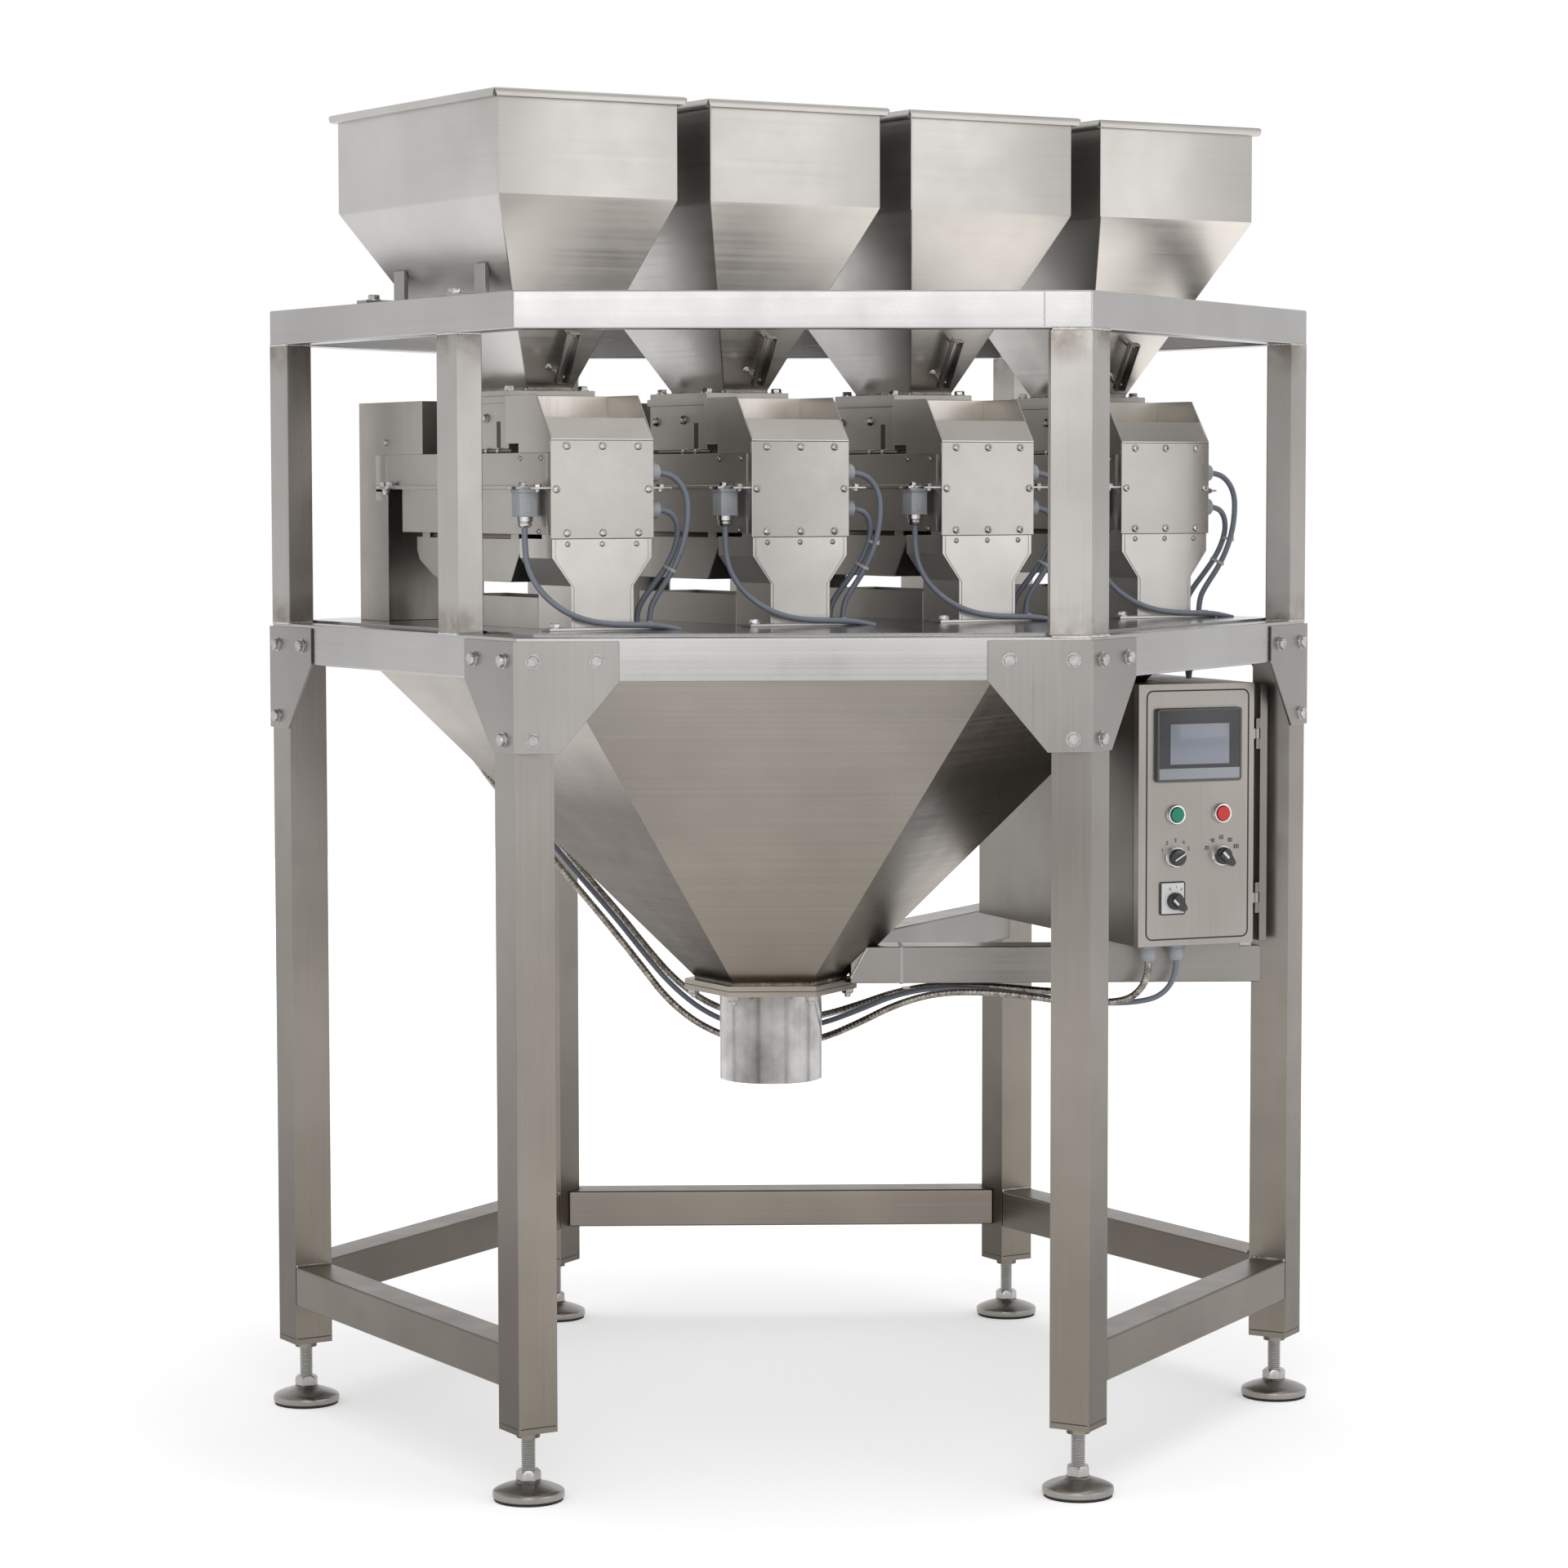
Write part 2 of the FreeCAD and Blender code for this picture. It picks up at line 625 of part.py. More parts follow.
# Inlets: the neck plate under each hopper, its seat and the short duct down into the head
neck = box(-NECK_HALF, NECK_HALF, NECK_FRONT, NECK_BACK, THROAT_Z - NECK_T, THROAT_Z)
seat = box(-NECK_HALF - SEAT_EXTRA, NECK_HALF + SEAT_EXTRA, NECK_FRONT - SEAT_EXTRA, NECK_BACK + SEAT_EXTRA,
           INLET_TOP, INLET_TOP + SEAT_T)
inlet = box(-INLET_HALF, INLET_HALF, NECK_FRONT, NECK_BACK, INLET_LOW, INLET_TOP)
throat_hole = box(-THROAT_HALF + SHEET, THROAT_HALF - SHEET, THROAT_FRONT + SHEET, THROAT_BACK - SHEET,
                  INLET_LOW + 4, THROAT_Z + 1)
inlet_block = join([neck, seat, inlet]).cut(throat_hole)
inlet_foot = box(-INLET_HALF + INLET_FOOT_IN, INLET_HALF - INLET_FOOT_IN,
                 NECK_FRONT + INLET_FOOT_IN, NECK_BACK - INLET_FOOT_IN, BAND_TOP, INLET_LOW)
save("inlets", each_head(join([inlet_block, inlet_foot])))

# Head housings: upper and lower band with the thin flange plate between them
upper_band = box(-BODY_HALF, BODY_HALF, BODY_FRONT, UPPER_BACK, MID_Z + MID_T, BAND_TOP)
lower_band = box(-BODY_HALF, BODY_HALF, BODY_FRONT, LOWER_BACK, BAND_LOW, MID_Z)
mid_plate = box(-BODY_HALF - MID_T, BODY_HALF + MID_T, BODY_FRONT + MID_FRONT_L, STAND_FRONT,
                MID_Z, MID_Z + MID_T)
mid_front = box(-BODY_HALF, BODY_HALF, BODY_FRONT, BODY_FRONT + MID_FRONT_L + 1, MID_Z, MID_Z + MID_T)
save("head_housings", each_head(join([upper_band, lower_band, mid_plate, mid_front])))

face_plate = box(-FACE_HALF, FACE_HALF, FACE_Y, BODY_FRONT, FACE_LOW, FACE_TOP)
save("front_covers", each_head(face_plate))

# Hood over the front: two cheeks, a back plate and a short sloping panel
cheek_outline = [
    (HOOD_BACK, HOOD_TOP), (HOOD_CREST_Y, HOOD_TOP), (FACE_Y, FACE_TOP + HOOD_SHEET), (FACE_Y, FACE_TOP),
    (BODY_FRONT, FACE_TOP), (BODY_FRONT, BAND_TOP), (HOOD_NOTCH_Y, BAND_TOP),
    (HOOD_NOTCH_Y, HOOD_NOTCH_Z), (HOOD_BACK, HOOD_NOTCH_Z)]
slope_outline = [
    (FACE_Y, FACE_TOP), (FACE_Y, FACE_TOP + HOOD_SHEET), (SLOPE_Y, SLOPE_Z),
    (SLOPE_Y + HOOD_SHEET, SLOPE_Z), (BODY_FRONT, FACE_TOP)]
hood = join([
    side_prism(cheek_outline, -FACE_HALF, -FACE_HALF + HOOD_SHEET),
    side_prism(cheek_outline, FACE_HALF - HOOD_SHEET, FACE_HALF),
    side_prism(slope_outline, -FACE_HALF, FACE_HALF),
    box(-FACE_HALF, FACE_HALF, HOOD_BACK - HOOD_SHEET, HOOD_BACK, HOOD_NOTCH_Z, HOOD_TOP)])
save("hoods", each_head(hood))

# Stand behind each head with its box on top and the two folded wings
stand = join([
    box(-BODY_HALF, BODY_HALF, STAND_FRONT, STAND_BACK, DECK_TOP, STAND_TOP),
    box(-BODY_HALF, BODY_HALF, BACK_BOX_FRONT, STAND_FRONT, BAND_TOP, STAND_TOP),
    box(-BODY_HALF, -BODY_HALF + STAND_SHEET, STAND_FRONT - STAND_WING, STAND_FRONT, DECK_TOP, WING_TOP),
    box(BODY_HALF - STAND_SHEET, BODY_HALF, STAND_FRONT - STAND_WING, STAND_FRONT, DECK_TOP, WING_TOP)])
save("stands", each_head(stand))


def pan_outline(inset, over):
    """Side outline of the pan, drawn in by inset and raised above its rim by over."""
    return [
        (PAN_BACK - inset, PAN_TOP + over), (PAN_BACK - inset, PAN_TOP - PAN_LIP),
        (PAN_CURVE_Y - 0.7 * inset, PAN_LOW + PAN_CURVE_H + inset),
        (PAN_SLOPE_Y, PAN_LOW + PAN_SLOPE_H + inset), (PAN_FLAT_Y, PAN_LOW + inset),
        (PAN_LOW_FRONT + 0.7 * inset, PAN_LOW + inset), (PAN_FRONT + inset, PAN_TOP + over)]


# Feeder pan hanging under the housing
pan = side_prism(pan_outline(0, 0), -PAN_HALF, PAN_HALF).cut(
    side_prism(pan_outline(PAN_SHEET, 1), -PAN_HALF + PAN_SHEET, PAN_HALF - PAN_SHEET))
hangers = []
for y in HANGER_Y:
    for x0 in [-PAN_HALF, PAN_HALF - PAN_SHEET]:
        hangers.append(box(x0, x0 + PAN_SHEET, y, y + HANGER_W, PAN_TOP, BAND_LOW))
save("pans", each_head(join([pan] + hangers)))

# Outlet chutes, hollow down through the deck
chute_front_outline = [
    (-CHUTE_TOP_HALF, FACE_LOW), (CHUTE_TOP_HALF, FACE_LOW), (CHUTE_TOP_HALF, CHUTE_SHOULDER_Z),
    (CHUTE_HALF, CHUTE_WAIST_Z), (CHUTE_HALF, DECK_TOP), (-CHUTE_HALF, DECK_TOP),
    (-CHUTE_HALF, CHUTE_WAIST_Z), (-CHUTE_TOP_HALF, CHUTE_SHOULDER_Z)]
inner_half = CHUTE_TOP_HALF - SHEET
chute_inner_outline = [
    (-inner_half, FACE_LOW - 2), (inner_half, FACE_LOW - 2), (inner_half, CHUTE_SHOULDER_Z),
    (CHUTE_HALF - SHEET, CHUTE_WAIST_Z), (CHUTE_HALF - SHEET, DECK_TOP - 1),
    (-CHUTE_HALF + SHEET, DECK_TOP - 1), (-CHUTE_HALF + SHEET, CHUTE_WAIST_Z),
    (-inner_half, CHUTE_SHOULDER_Z)]
chute_hollow = front_prism(chute_inner_outline, CHUTE_FACE_Y + SHEET, CHUTE_BACK - SHEET)
chute = front_prism(chute_front_outline, CHUTE_FACE_Y, CHUTE_BACK).cut(chute_hollow)
chute_tab = box(-CHUTE_TOP_HALF, CHUTE_TOP_HALF, BODY_FRONT, BODY_FRONT + CHUTE_TAB, FACE_LOW, BAND_LOW)
chute_foot = box(-CHUTE_FOOT_HALF, CHUTE_FOOT_HALF, CHUTE_FOOT_FRONT, CHUTE_FOOT_BACK,
                 DECK_TOP, DECK_TOP + CHUTE_FOOT_T).cut(chute_hollow)
save("chutes", each_head(join([chute, chute_tab, chute_foot])))

# Catch box behind each chute
catch = box(-BIN_BOX_HALF, BIN_BOX_HALF, BIN_BOX_FRONT, BIN_BOX_BACK, DECK_TOP, BIN_BOX_TOP)
catch = catch.cut(box(-BIN_BOX_HALF + BIN_BOX_SHEET, BIN_BOX_HALF - BIN_BOX_SHEET,
                      BIN_BOX_FRONT + BIN_BOX_SHEET, BIN_BOX_BACK - BIN_BOX_SHEET,
                      DECK_TOP + BIN_BOX_SHEET, BIN_BOX_TOP + 1))
save("catch_boxes", each_head(catch))

# Plastic connectors: hanging plug on the left, two side glands on the right of every head
plug = join([
    box(PLUG_X - PLUG_HALF_X, PLUG_X + PLUG_HALF_X, PLUG_Y - PLUG_HALF_Y, PLUG_Y + PLUG_HALF_Y,
        PLUG_LOW, MID_Z),
    cylinder(PLUG_X, PLUG_Y, PLUG_GLAND_LOW, PLUG_LOW, PLUG_GLAND_R),
    box(PLUG_X - 19, -FACE_HALF + 2, PLUG_Y - 12, PLUG_Y + 12, MID_Z, MID_Z + 4)])
connectors = [plug]
for z in SIDE_GLAND_Z:
    mouth = V(BODY_HALF, SIDE_GLAND_Y, z)
    connectors.append(Part.makeCylinder(SIDE_GLAND_R, SIDE_GLAND_L, mouth, V(1, 0, 0)))
all_connectors = []
for piece in connectors:
    all_connectors += each_head(piece)
save("connectors", all_connectors)

# Hopper grips: a bar held off the front slope of each hopper on two studs
slope_angle = math.degrees(math.atan2(THROAT_FRONT - BIN_FRONT, KNUCKLE_Z - THROAT_Z))
grip = join([
    box(-GRIP_HALF, GRIP_HALF, -GRIP_OUT, -GRIP_OUT + GRIP_T, -GRIP_REACH, GRIP_REACH),
    box(-STUD_HALF, STUD_HALF, -GRIP_OUT + GRIP_T - 1, 0, -GRIP_REACH + 2, -GRIP_REACH + 2 + 2 * STUD_HALF),
    box(-STUD_HALF, STUD_HALF, -GRIP_OUT + GRIP_T - 1, 0, GRIP_REACH - 2 - 2 * STUD_HALF, GRIP_REACH - 2)])
grip.rotate(V(0, 0, 0), V(1, 0, 0), slope_angle)
grip_y = THROAT_FRONT + (BIN_FRONT - THROAT_FRONT) * (GRIP_Z - THROAT_Z) / (KNUCKLE_Z - THROAT_Z)
save("hopper_grips", each_head(moved(grip, GRIP_X, grip_y, GRIP_Z)))

# Steady brackets: foot plates on the side beams of the top ring, with bars that hold the end hoppers
brackets = []
for y in BRACKET_Y:
    outline = [
        (BRACKET_OUT, TOP_RING_TOP), (BRACKET_BAR_X + BRACKET_BAR_T, TOP_RING_TOP),
        (BRACKET_BAR_X + BRACKET_BAR_T, BRACKET_TOP), (BRACKET_BAR_X, BRACKET_TOP),
        (BRACKET_BAR_X, TOP_RING_TOP + BRACKET_T), (BRACKET_OUT, TOP_RING_TOP + BRACKET_T)]
    bracket = front_prism(outline, y, y + BRACKET_W).cut(hopper_outsides[0])
    brackets += [bracket, bracket.mirror(V(0, 0, 0), V(1, 0, 0))]
save("hopper_brackets", brackets)


def front_disc(x, z, radius, y0, y1):
    return Part.makeCylinder(radius, y1 - y0, V(x, y0, z), V(0, 1, 0))


# Control cabinet shell, cut back along the funnel
cab_outer = box(0, CAB_W, DOOR_T + DOOR_GAP, CAB_DEEP, 0, CAB_H)
cab_inner = box(CAB_SHEET, CAB_W - CAB_SHEET, DOOR_T - 5, CAB_DEEP - CAB_SHEET,
                CAB_SHEET, CAB_H - CAB_SHEET)
cabinet = cab(cab_outer).cut(funnel_room(CAB_FUNNEL_GAP)).cut(
    cab(cab_inner).cut(funnel_room(CAB_FUNNEL_GAP + 1.5 * CAB_SHEET)))
hinge_strip = [
    box(CAB_W + STRIP_GAP, CAB_W + STRIP_OUT, 2, STRIP_BACK, 2, CAB_H - 4),
    box(CAB_W - 1, CAB_W + STRIP_OUT, STRIP_BACK - 6, STRIP_BACK, 2, CAB_H - 4)]
for z in HINGE_HEIGHTS:
    for low in [z - KNUCKLE_L - KNUCKLE_GAP, z + KNUCKLE_L + KNUCKLE_GAP]:
        hinge_strip.append(cylinder(HINGE_X, HINGE_Y, low, low + KNUCKLE_L, KNUCKLE_R))
        hinge_strip.append(box(HINGE_X, CAB_W + STRIP_GAP + 1, HINGE_Y + 1, HINGE_Y + 3,
                               low, low + KNUCKLE_L))
cabinet = join([cabinet] + [cab(piece) for piece in hinge_strip])
save("cabinet", cabinet)

# Door with its hinge knuckles in the gap
door_pieces = [box(0, CAB_W, 0, DOOR_T, 0, CAB_H)]
for z in HINGE_HEIGHTS:
    door_pieces.append(cylinder(HINGE_X, HINGE_Y, z, z + KNUCKLE_L, KNUCKLE_R))
    door_pieces.append(box(CAB_W - 1, HINGE_X, HINGE_Y - 1, HINGE_Y + 1, z, z + KNUCKLE_L))
door = join(door_pieces)
for x in [LEFT_X, RIGHT_X]:
    door = door.cut(front_disc(x, BUTTON_Z, BUTTON_R + BUTTON_GAP, -1, BUTTON_ROOM))
save("door", cab(door))

save("screen_frame", cab(box(PANEL_X0, PANEL_X1, -PANEL_OUT, 0, PANEL_Z0, PANEL_Z1)))
save("screen", cab(box(PANEL_X0 + SCREEN_SIDE, PANEL_X1 - SCREEN_SIDE, -PANEL_OUT - 1, -PANEL_OUT,
                       PANEL_Z0 + SCREEN_UNDER, PANEL_Z1 - SCREEN_OVER)))

# Button rings and the plates under the dials
bezels = []
for x in [LEFT_X, RIGHT_X]:
    ring = front_disc(x, BUTTON_Z, BEZEL_R, -7, 0)
    bezels.append(ring.cut(front_disc(x, BUTTON_Z, BUTTON_R + BUTTON_GAP, -8, 1)))
    bezels.append(front_disc(x, DIAL_Z, BEZEL_R + 1, -6, 0))
save("bezels", [cab(b) for b in bezels])
save("green_button", cab(front_disc(LEFT_X, BUTTON_Z, BUTTON_R, -9, 1)))
save("red_button", cab(front_disc(RIGHT_X, BUTTON_Z, BUTTON_R, -9, 1)))


def pointer_knob(x, z, y, lean):
    knob = join([
        front_disc(0, 0, 13, -9, 0),
        box(-5.5, 5.5, -22, -8, -13, 20)])
    knob.rotate(V(0, 0, 0), V(0, 1, 0), lean)
    return cab(moved(knob, x, y, z))


# The two dials and the main switch on its plate
save("left_dial", pointer_knob(LEFT_X, DIAL_Z, -6, 60))
save("right_dial", pointer_knob(RIGHT_X, DIAL_Z, -6, 135))
save("switch_plate", cab(box(SWITCH_X - 21, SWITCH_X + 21, -3, 0, SWITCH_Z - 25, SWITCH_Z + 25)))
save("main_switch", pointer_knob(SWITCH_X + 3, SWITCH_Z - 4, -3, 135))

# Cable glands under the cabinet: two at the front, one behind the arm
save("cabinet_glands", [cab(cylinder(x, y, -GLAND_L, 0, GLAND_R)) for x, y in GLANDS])


def gland_mouth(number):
    middle = cab(cylinder(GLANDS[number][0], GLANDS[number][1], -GLAND_L, 0, GLAND_R)).BoundBox.Center
    return middle.x, middle.y


# Cables of every head, from its plug and its two side glands down to the deck
plug_path = [
    (PLUG_X, PLUG_Y, PLUG_GLAND_LOW), (PLUG_X, PLUG_Y, 1316), (-98, -254, 1288), (-90, -264, 1262),
    (-77, -281, 1240), (-57, -297, 1223), (-32, -307, 1213), (-3, -312, 1208), (27, -314, 1206.5),
    (55, -315.5, 1206), (82, -316.5, 1204.5), (SLOT_X + SLOT_L / 2 - 0.6, SLOT_Y, 1198)]
gland_end = BODY_HALF + SIDE_GLAND_L
upper_path = [
    (gland_end, SIDE_GLAND_Y, SIDE_GLAND_Z[1]), (118, SIDE_GLAND_Y, SIDE_GLAND_Z[1]), (138.8, -268.5, 1407),
    (150.8, -269, 1386), (152, -269, 1360), (149, -267, 1330), (141, -263, 1300), (129, -256, 1272),
    (115, -248, 1248), (104, -242, 1225), (104, -242, DECK_TOP)]
lower_path = [
    (gland_end, SIDE_GLAND_Y, SIDE_GLAND_Z[0]), (116, SIDE_GLAND_Y, SIDE_GLAND_Z[0]), (134, -264, 1356),
    (143, -258, 1336), (141, -252, 1312), (132, -245, 1288), (118, -236, 1264), (104, -228, 1243),
    (94, -222, 1222), (94, -222, DECK_TOP)]
for number, x in enumerate(HEAD_X):
    for name, path in [("plug", plug_path), ("upper", upper_path), ("lower", lower_path)]:
        solid = cord([(x + px, py, pz) for px, py, pz in path], CABLE_D)
        save("cable_%s_%d" % (name, number + 1), solid)

# Two metal hoses and a grey cable: from the table beam behind the funnel, behind the spout and under
# the front arm to the cabinet's glands
hose_ends = [gland_mouth(number) for number in range(3)]


def rising_end(number, way_x, way_y):
    """Last points of a run that turns up into a gland, coming along the way given."""
    x, y = hose_ends[number]
    return [(x - way_x * 41, y - way_y * 41, GLAND_MOUTH_Z - 63),
            (x - way_x * 15, y - way_y * 15, GLAND_MOUTH_Z - 48),
            (x, y, GLAND_MOUTH_Z - 22), (x, y, GLAND_MOUTH_Z)]


outer_path = [
    (-345, 558, TABLE_UNDER), (-345, 558, 1095), (-322, 528, 1040), (-286, 476, 960), (-242, 412, 872),
    (-198, 342, 786), (-160, 285, 716), (-128, 242, 656), (-100, 206, 602), (-62, 168, 562),
    (-18, 128, 540), (34, 84, 534), (80, 38, 546), (114, -14, 574), (146, -68, 606), (192, -112, 626),
    (246, -160, 629), (298, -210, 624), (344, -264, 616)]
outer_path += rising_end(0, 0.65, -0.76)
inner_path = [
    (-306, 582, TABLE_UNDER), (-306, 582, 1104), (-288, 558, 1054), (-256, 508, 976), (-212, 440, 888),
    (-168, 368, 802), (-130, 310, 734), (-100, 268, 676), (-70, 234, 628), (-32, 198, 592),
    (10, 160, 574), (58, 116, 568), (102, 68, 578), (138, 20, 598), (176, -26, 620), (224, -62, 631),
    (276, -92, 630), (328, -122, 626), (376, -152, 620)]
inner_path += rising_end(2, 0.84, -0.54)
cable_path = [
    (-325, 570, TABLE_UNDER), (-325, 570, 1100), (-304, 544, 1046), (-270, 492, 968), (-226, 424, 880),
    (-180, 354, 794), (-142, 296, 726), (-112, 254, 668), (-84, 220, 622), (-48, 184, 582),
    (-6, 146, 560), (44, 102, 554), (88, 56, 566), (124, 6, 590), (160, -46, 618), (208, -88, 631),
    (260, -128, 630), (310, -174, 623), (354, -226, 616), (394, -280, 613)]
cable_path += rising_end(1, 0.70, -0.71)
save("hose_outer", cord(outer_path, HOSE_D))
save("hose_inner", cord(inner_path, HOSE_D))
save("cable_main", cord(cable_path, CABLE_D))
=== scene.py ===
import bpy
import bmesh
import math
import random
from mathutils import Matrix, Vector


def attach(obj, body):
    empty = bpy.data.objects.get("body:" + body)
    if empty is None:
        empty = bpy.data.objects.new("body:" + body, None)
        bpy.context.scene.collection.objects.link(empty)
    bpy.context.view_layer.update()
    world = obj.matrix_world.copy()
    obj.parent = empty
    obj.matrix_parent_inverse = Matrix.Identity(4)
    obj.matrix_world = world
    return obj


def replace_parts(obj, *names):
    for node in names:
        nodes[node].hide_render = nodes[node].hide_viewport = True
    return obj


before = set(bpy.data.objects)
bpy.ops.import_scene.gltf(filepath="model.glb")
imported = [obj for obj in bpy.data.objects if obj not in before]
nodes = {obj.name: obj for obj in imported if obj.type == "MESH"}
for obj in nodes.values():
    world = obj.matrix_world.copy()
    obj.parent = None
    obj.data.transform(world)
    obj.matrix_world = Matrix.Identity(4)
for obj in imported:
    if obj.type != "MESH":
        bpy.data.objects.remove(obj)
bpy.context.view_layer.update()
scene = bpy.context.scene
chance = random.Random(7)

# Driving sizes and places of the solids that the added pieces follow, in metres
HEADS = [-0.4875, -0.1625, 0.1625, 0.4875]
BINS = [x * 338 / 325 for x in HEADS]
RING = 0.6795
TUBE = 0.060
HALF_SIDE = RING * math.tan(math.radians(30))
CORNER = RING / math.cos(math.radians(30))
POST_ENDS = (1.195, 1.612)
BODY_HALF = 0.080
DUCT_HALF = 0.070
THROAT_HALF, THROAT_FRONT, THROAT_BACK, THROAT_Z = 0.036, -0.140, 0.010, 1.536
BIN_HALF, BIN_FRONT, BIN_BACK = 0.1425, -0.295, 0.212
CONE_RISE = 0.264
COVER_FACE = -0.295
CHUTE_FACE = -0.293
PLUG_X, PLUG_Y = -0.100, -0.250
SIDE_GLANDS = (1.367, 1.419)
CABLE = 0.0085
HOSE = 0.011

# The cabinet's front left lower corner is the origin of everything drawn on it
CAB = Matrix.Translation((0.380, -0.376, 0.709)) @ Matrix.Rotation(math.radians(-9), 4, "Z")
CAB_TOP = 0.394
GLANDS = [(0.034, 0.032), (0.081, 0.032), (0.046, 0.190)]
CONTROLS = (0.062, 0.140)
BUTTONS_DOWN, DIALS_DOWN, SWITCH_DOWN = 0.196, 0.260, 0.326

FUNNEL = Matrix.Translation((-0.026, 0.016, 0))
FRONT, UP, DOWN = (0, -1, 0), (0, 0, 1), (0, 0, -1)

# Bolt heads: half width over flats, height, washer radius
M10 = (0.0080, 0.0065, 0.0105)
M8 = (0.0065, 0.0053, 0.0085)
M6 = (0.0050, 0.0040, 0.0070)


def add_camera():
    """The photograph's camera, as it was fitted by the frame's edges."""
    azimuth, dip, roll = math.radians(31.44), math.radians(4.07), math.radians(-0.09)
    look = Vector((math.sin(azimuth) * math.cos(dip), math.cos(azimuth) * math.cos(dip), -math.sin(dip)))
    right = Vector((math.cos(azimuth), -math.sin(azimuth), 0))
    turn = Matrix((right, right.cross(look), -look)).transposed() @ Matrix.Rotation(roll, 3, "Z")
    data = bpy.data.cameras.new("camera")
    data.sensor_width = 36
    data.lens = 96.17
    data.clip_end = 60
    camera = bpy.data.objects.new("camera", data)
    camera.matrix_world = Matrix.Translation((-3.330, -5.428, 1.400)) @ turn.to_4x4()
    scene.collection.objects.link(camera)
    scene.camera = camera


add_camera()

# Shader building


def node_of(tree, kind, **values):
    """A new shader node with its plain settings and constant inputs."""
    node = tree.nodes.new(kind)
    for key, value in values.items():
        if hasattr(node, key):
            setattr(node, key, value)
        else:
            node.inputs[key.replace("_", " ")].default_value = value
    return node


def new_material(name):
    material = bpy.data.materials.new(name)
    material.use_nodes = True
    tree = material.node_tree
    return material, tree, tree.nodes["Principled BSDF"]


def noise_of(tree, place, scale, detail, roughness):
    node = node_of(tree, "ShaderNodeTexNoise", Scale=scale, Detail=detail, Roughness=roughness)
    tree.links.new(place, node.inputs["Vector"])
    return node.outputs["Fac"]


def ramped(tree, value, low, high, start=0.0, end=1.0):
    """The value's way from low to high, turned into one from start to end."""
    node = node_of(tree, "ShaderNodeMapRange", clamp=True, From_Min=low, From_Max=high, To_Min=start, To_Max=end)
    tree.links.new(value, node.inputs["Value"])
    return node.outputs["Result"]


def maths(tree, operation, *values):
    """Result of a maths node on numbers and other nodes' outputs."""
    node = node_of(tree, "ShaderNodeMath", operation=operation)
    for socket, value in zip(node.inputs, values):
        if isinstance(value, float):
            socket.default_value = value
        else:
            tree.links.new(value, socket)
    return node.outputs[0]


def mixed(tree, amount, first, second, blend="MIX"):
    """Mix of two colours, each a triple or another node's output."""
    node = node_of(tree, "ShaderNodeMix", data_type="RGBA", blend_type=blend)
    tree.links.new(amount, node.inputs[0])
    for socket, colour in ((node.inputs[6], first), (node.inputs[7], second)):
        if isinstance(colour, tuple):
            socket.default_value = (*colour, 1)
        else:
            tree.links.new(colour, socket)
    return node.outputs[2]


def add_relief(tree, shader, height, strength, distance):
    bump = node_of(tree, "ShaderNodeBump", Strength=strength, Distance=distance)
    tree.links.new(height, bump.inputs["Height"])
    tree.links.new(bump.outputs["Normal"], shader.inputs["Normal"])


GRAINS = {"up": (330.0, 330.0, 5.0), "level": (1.2, 1.2, 240.0), "fine": (260.0, 260.0, 200.0)}
# A band of heights that both lie above the machine, so painted light and shade given with it cover all of it
ALL_OVER = (2.0, 3.0)


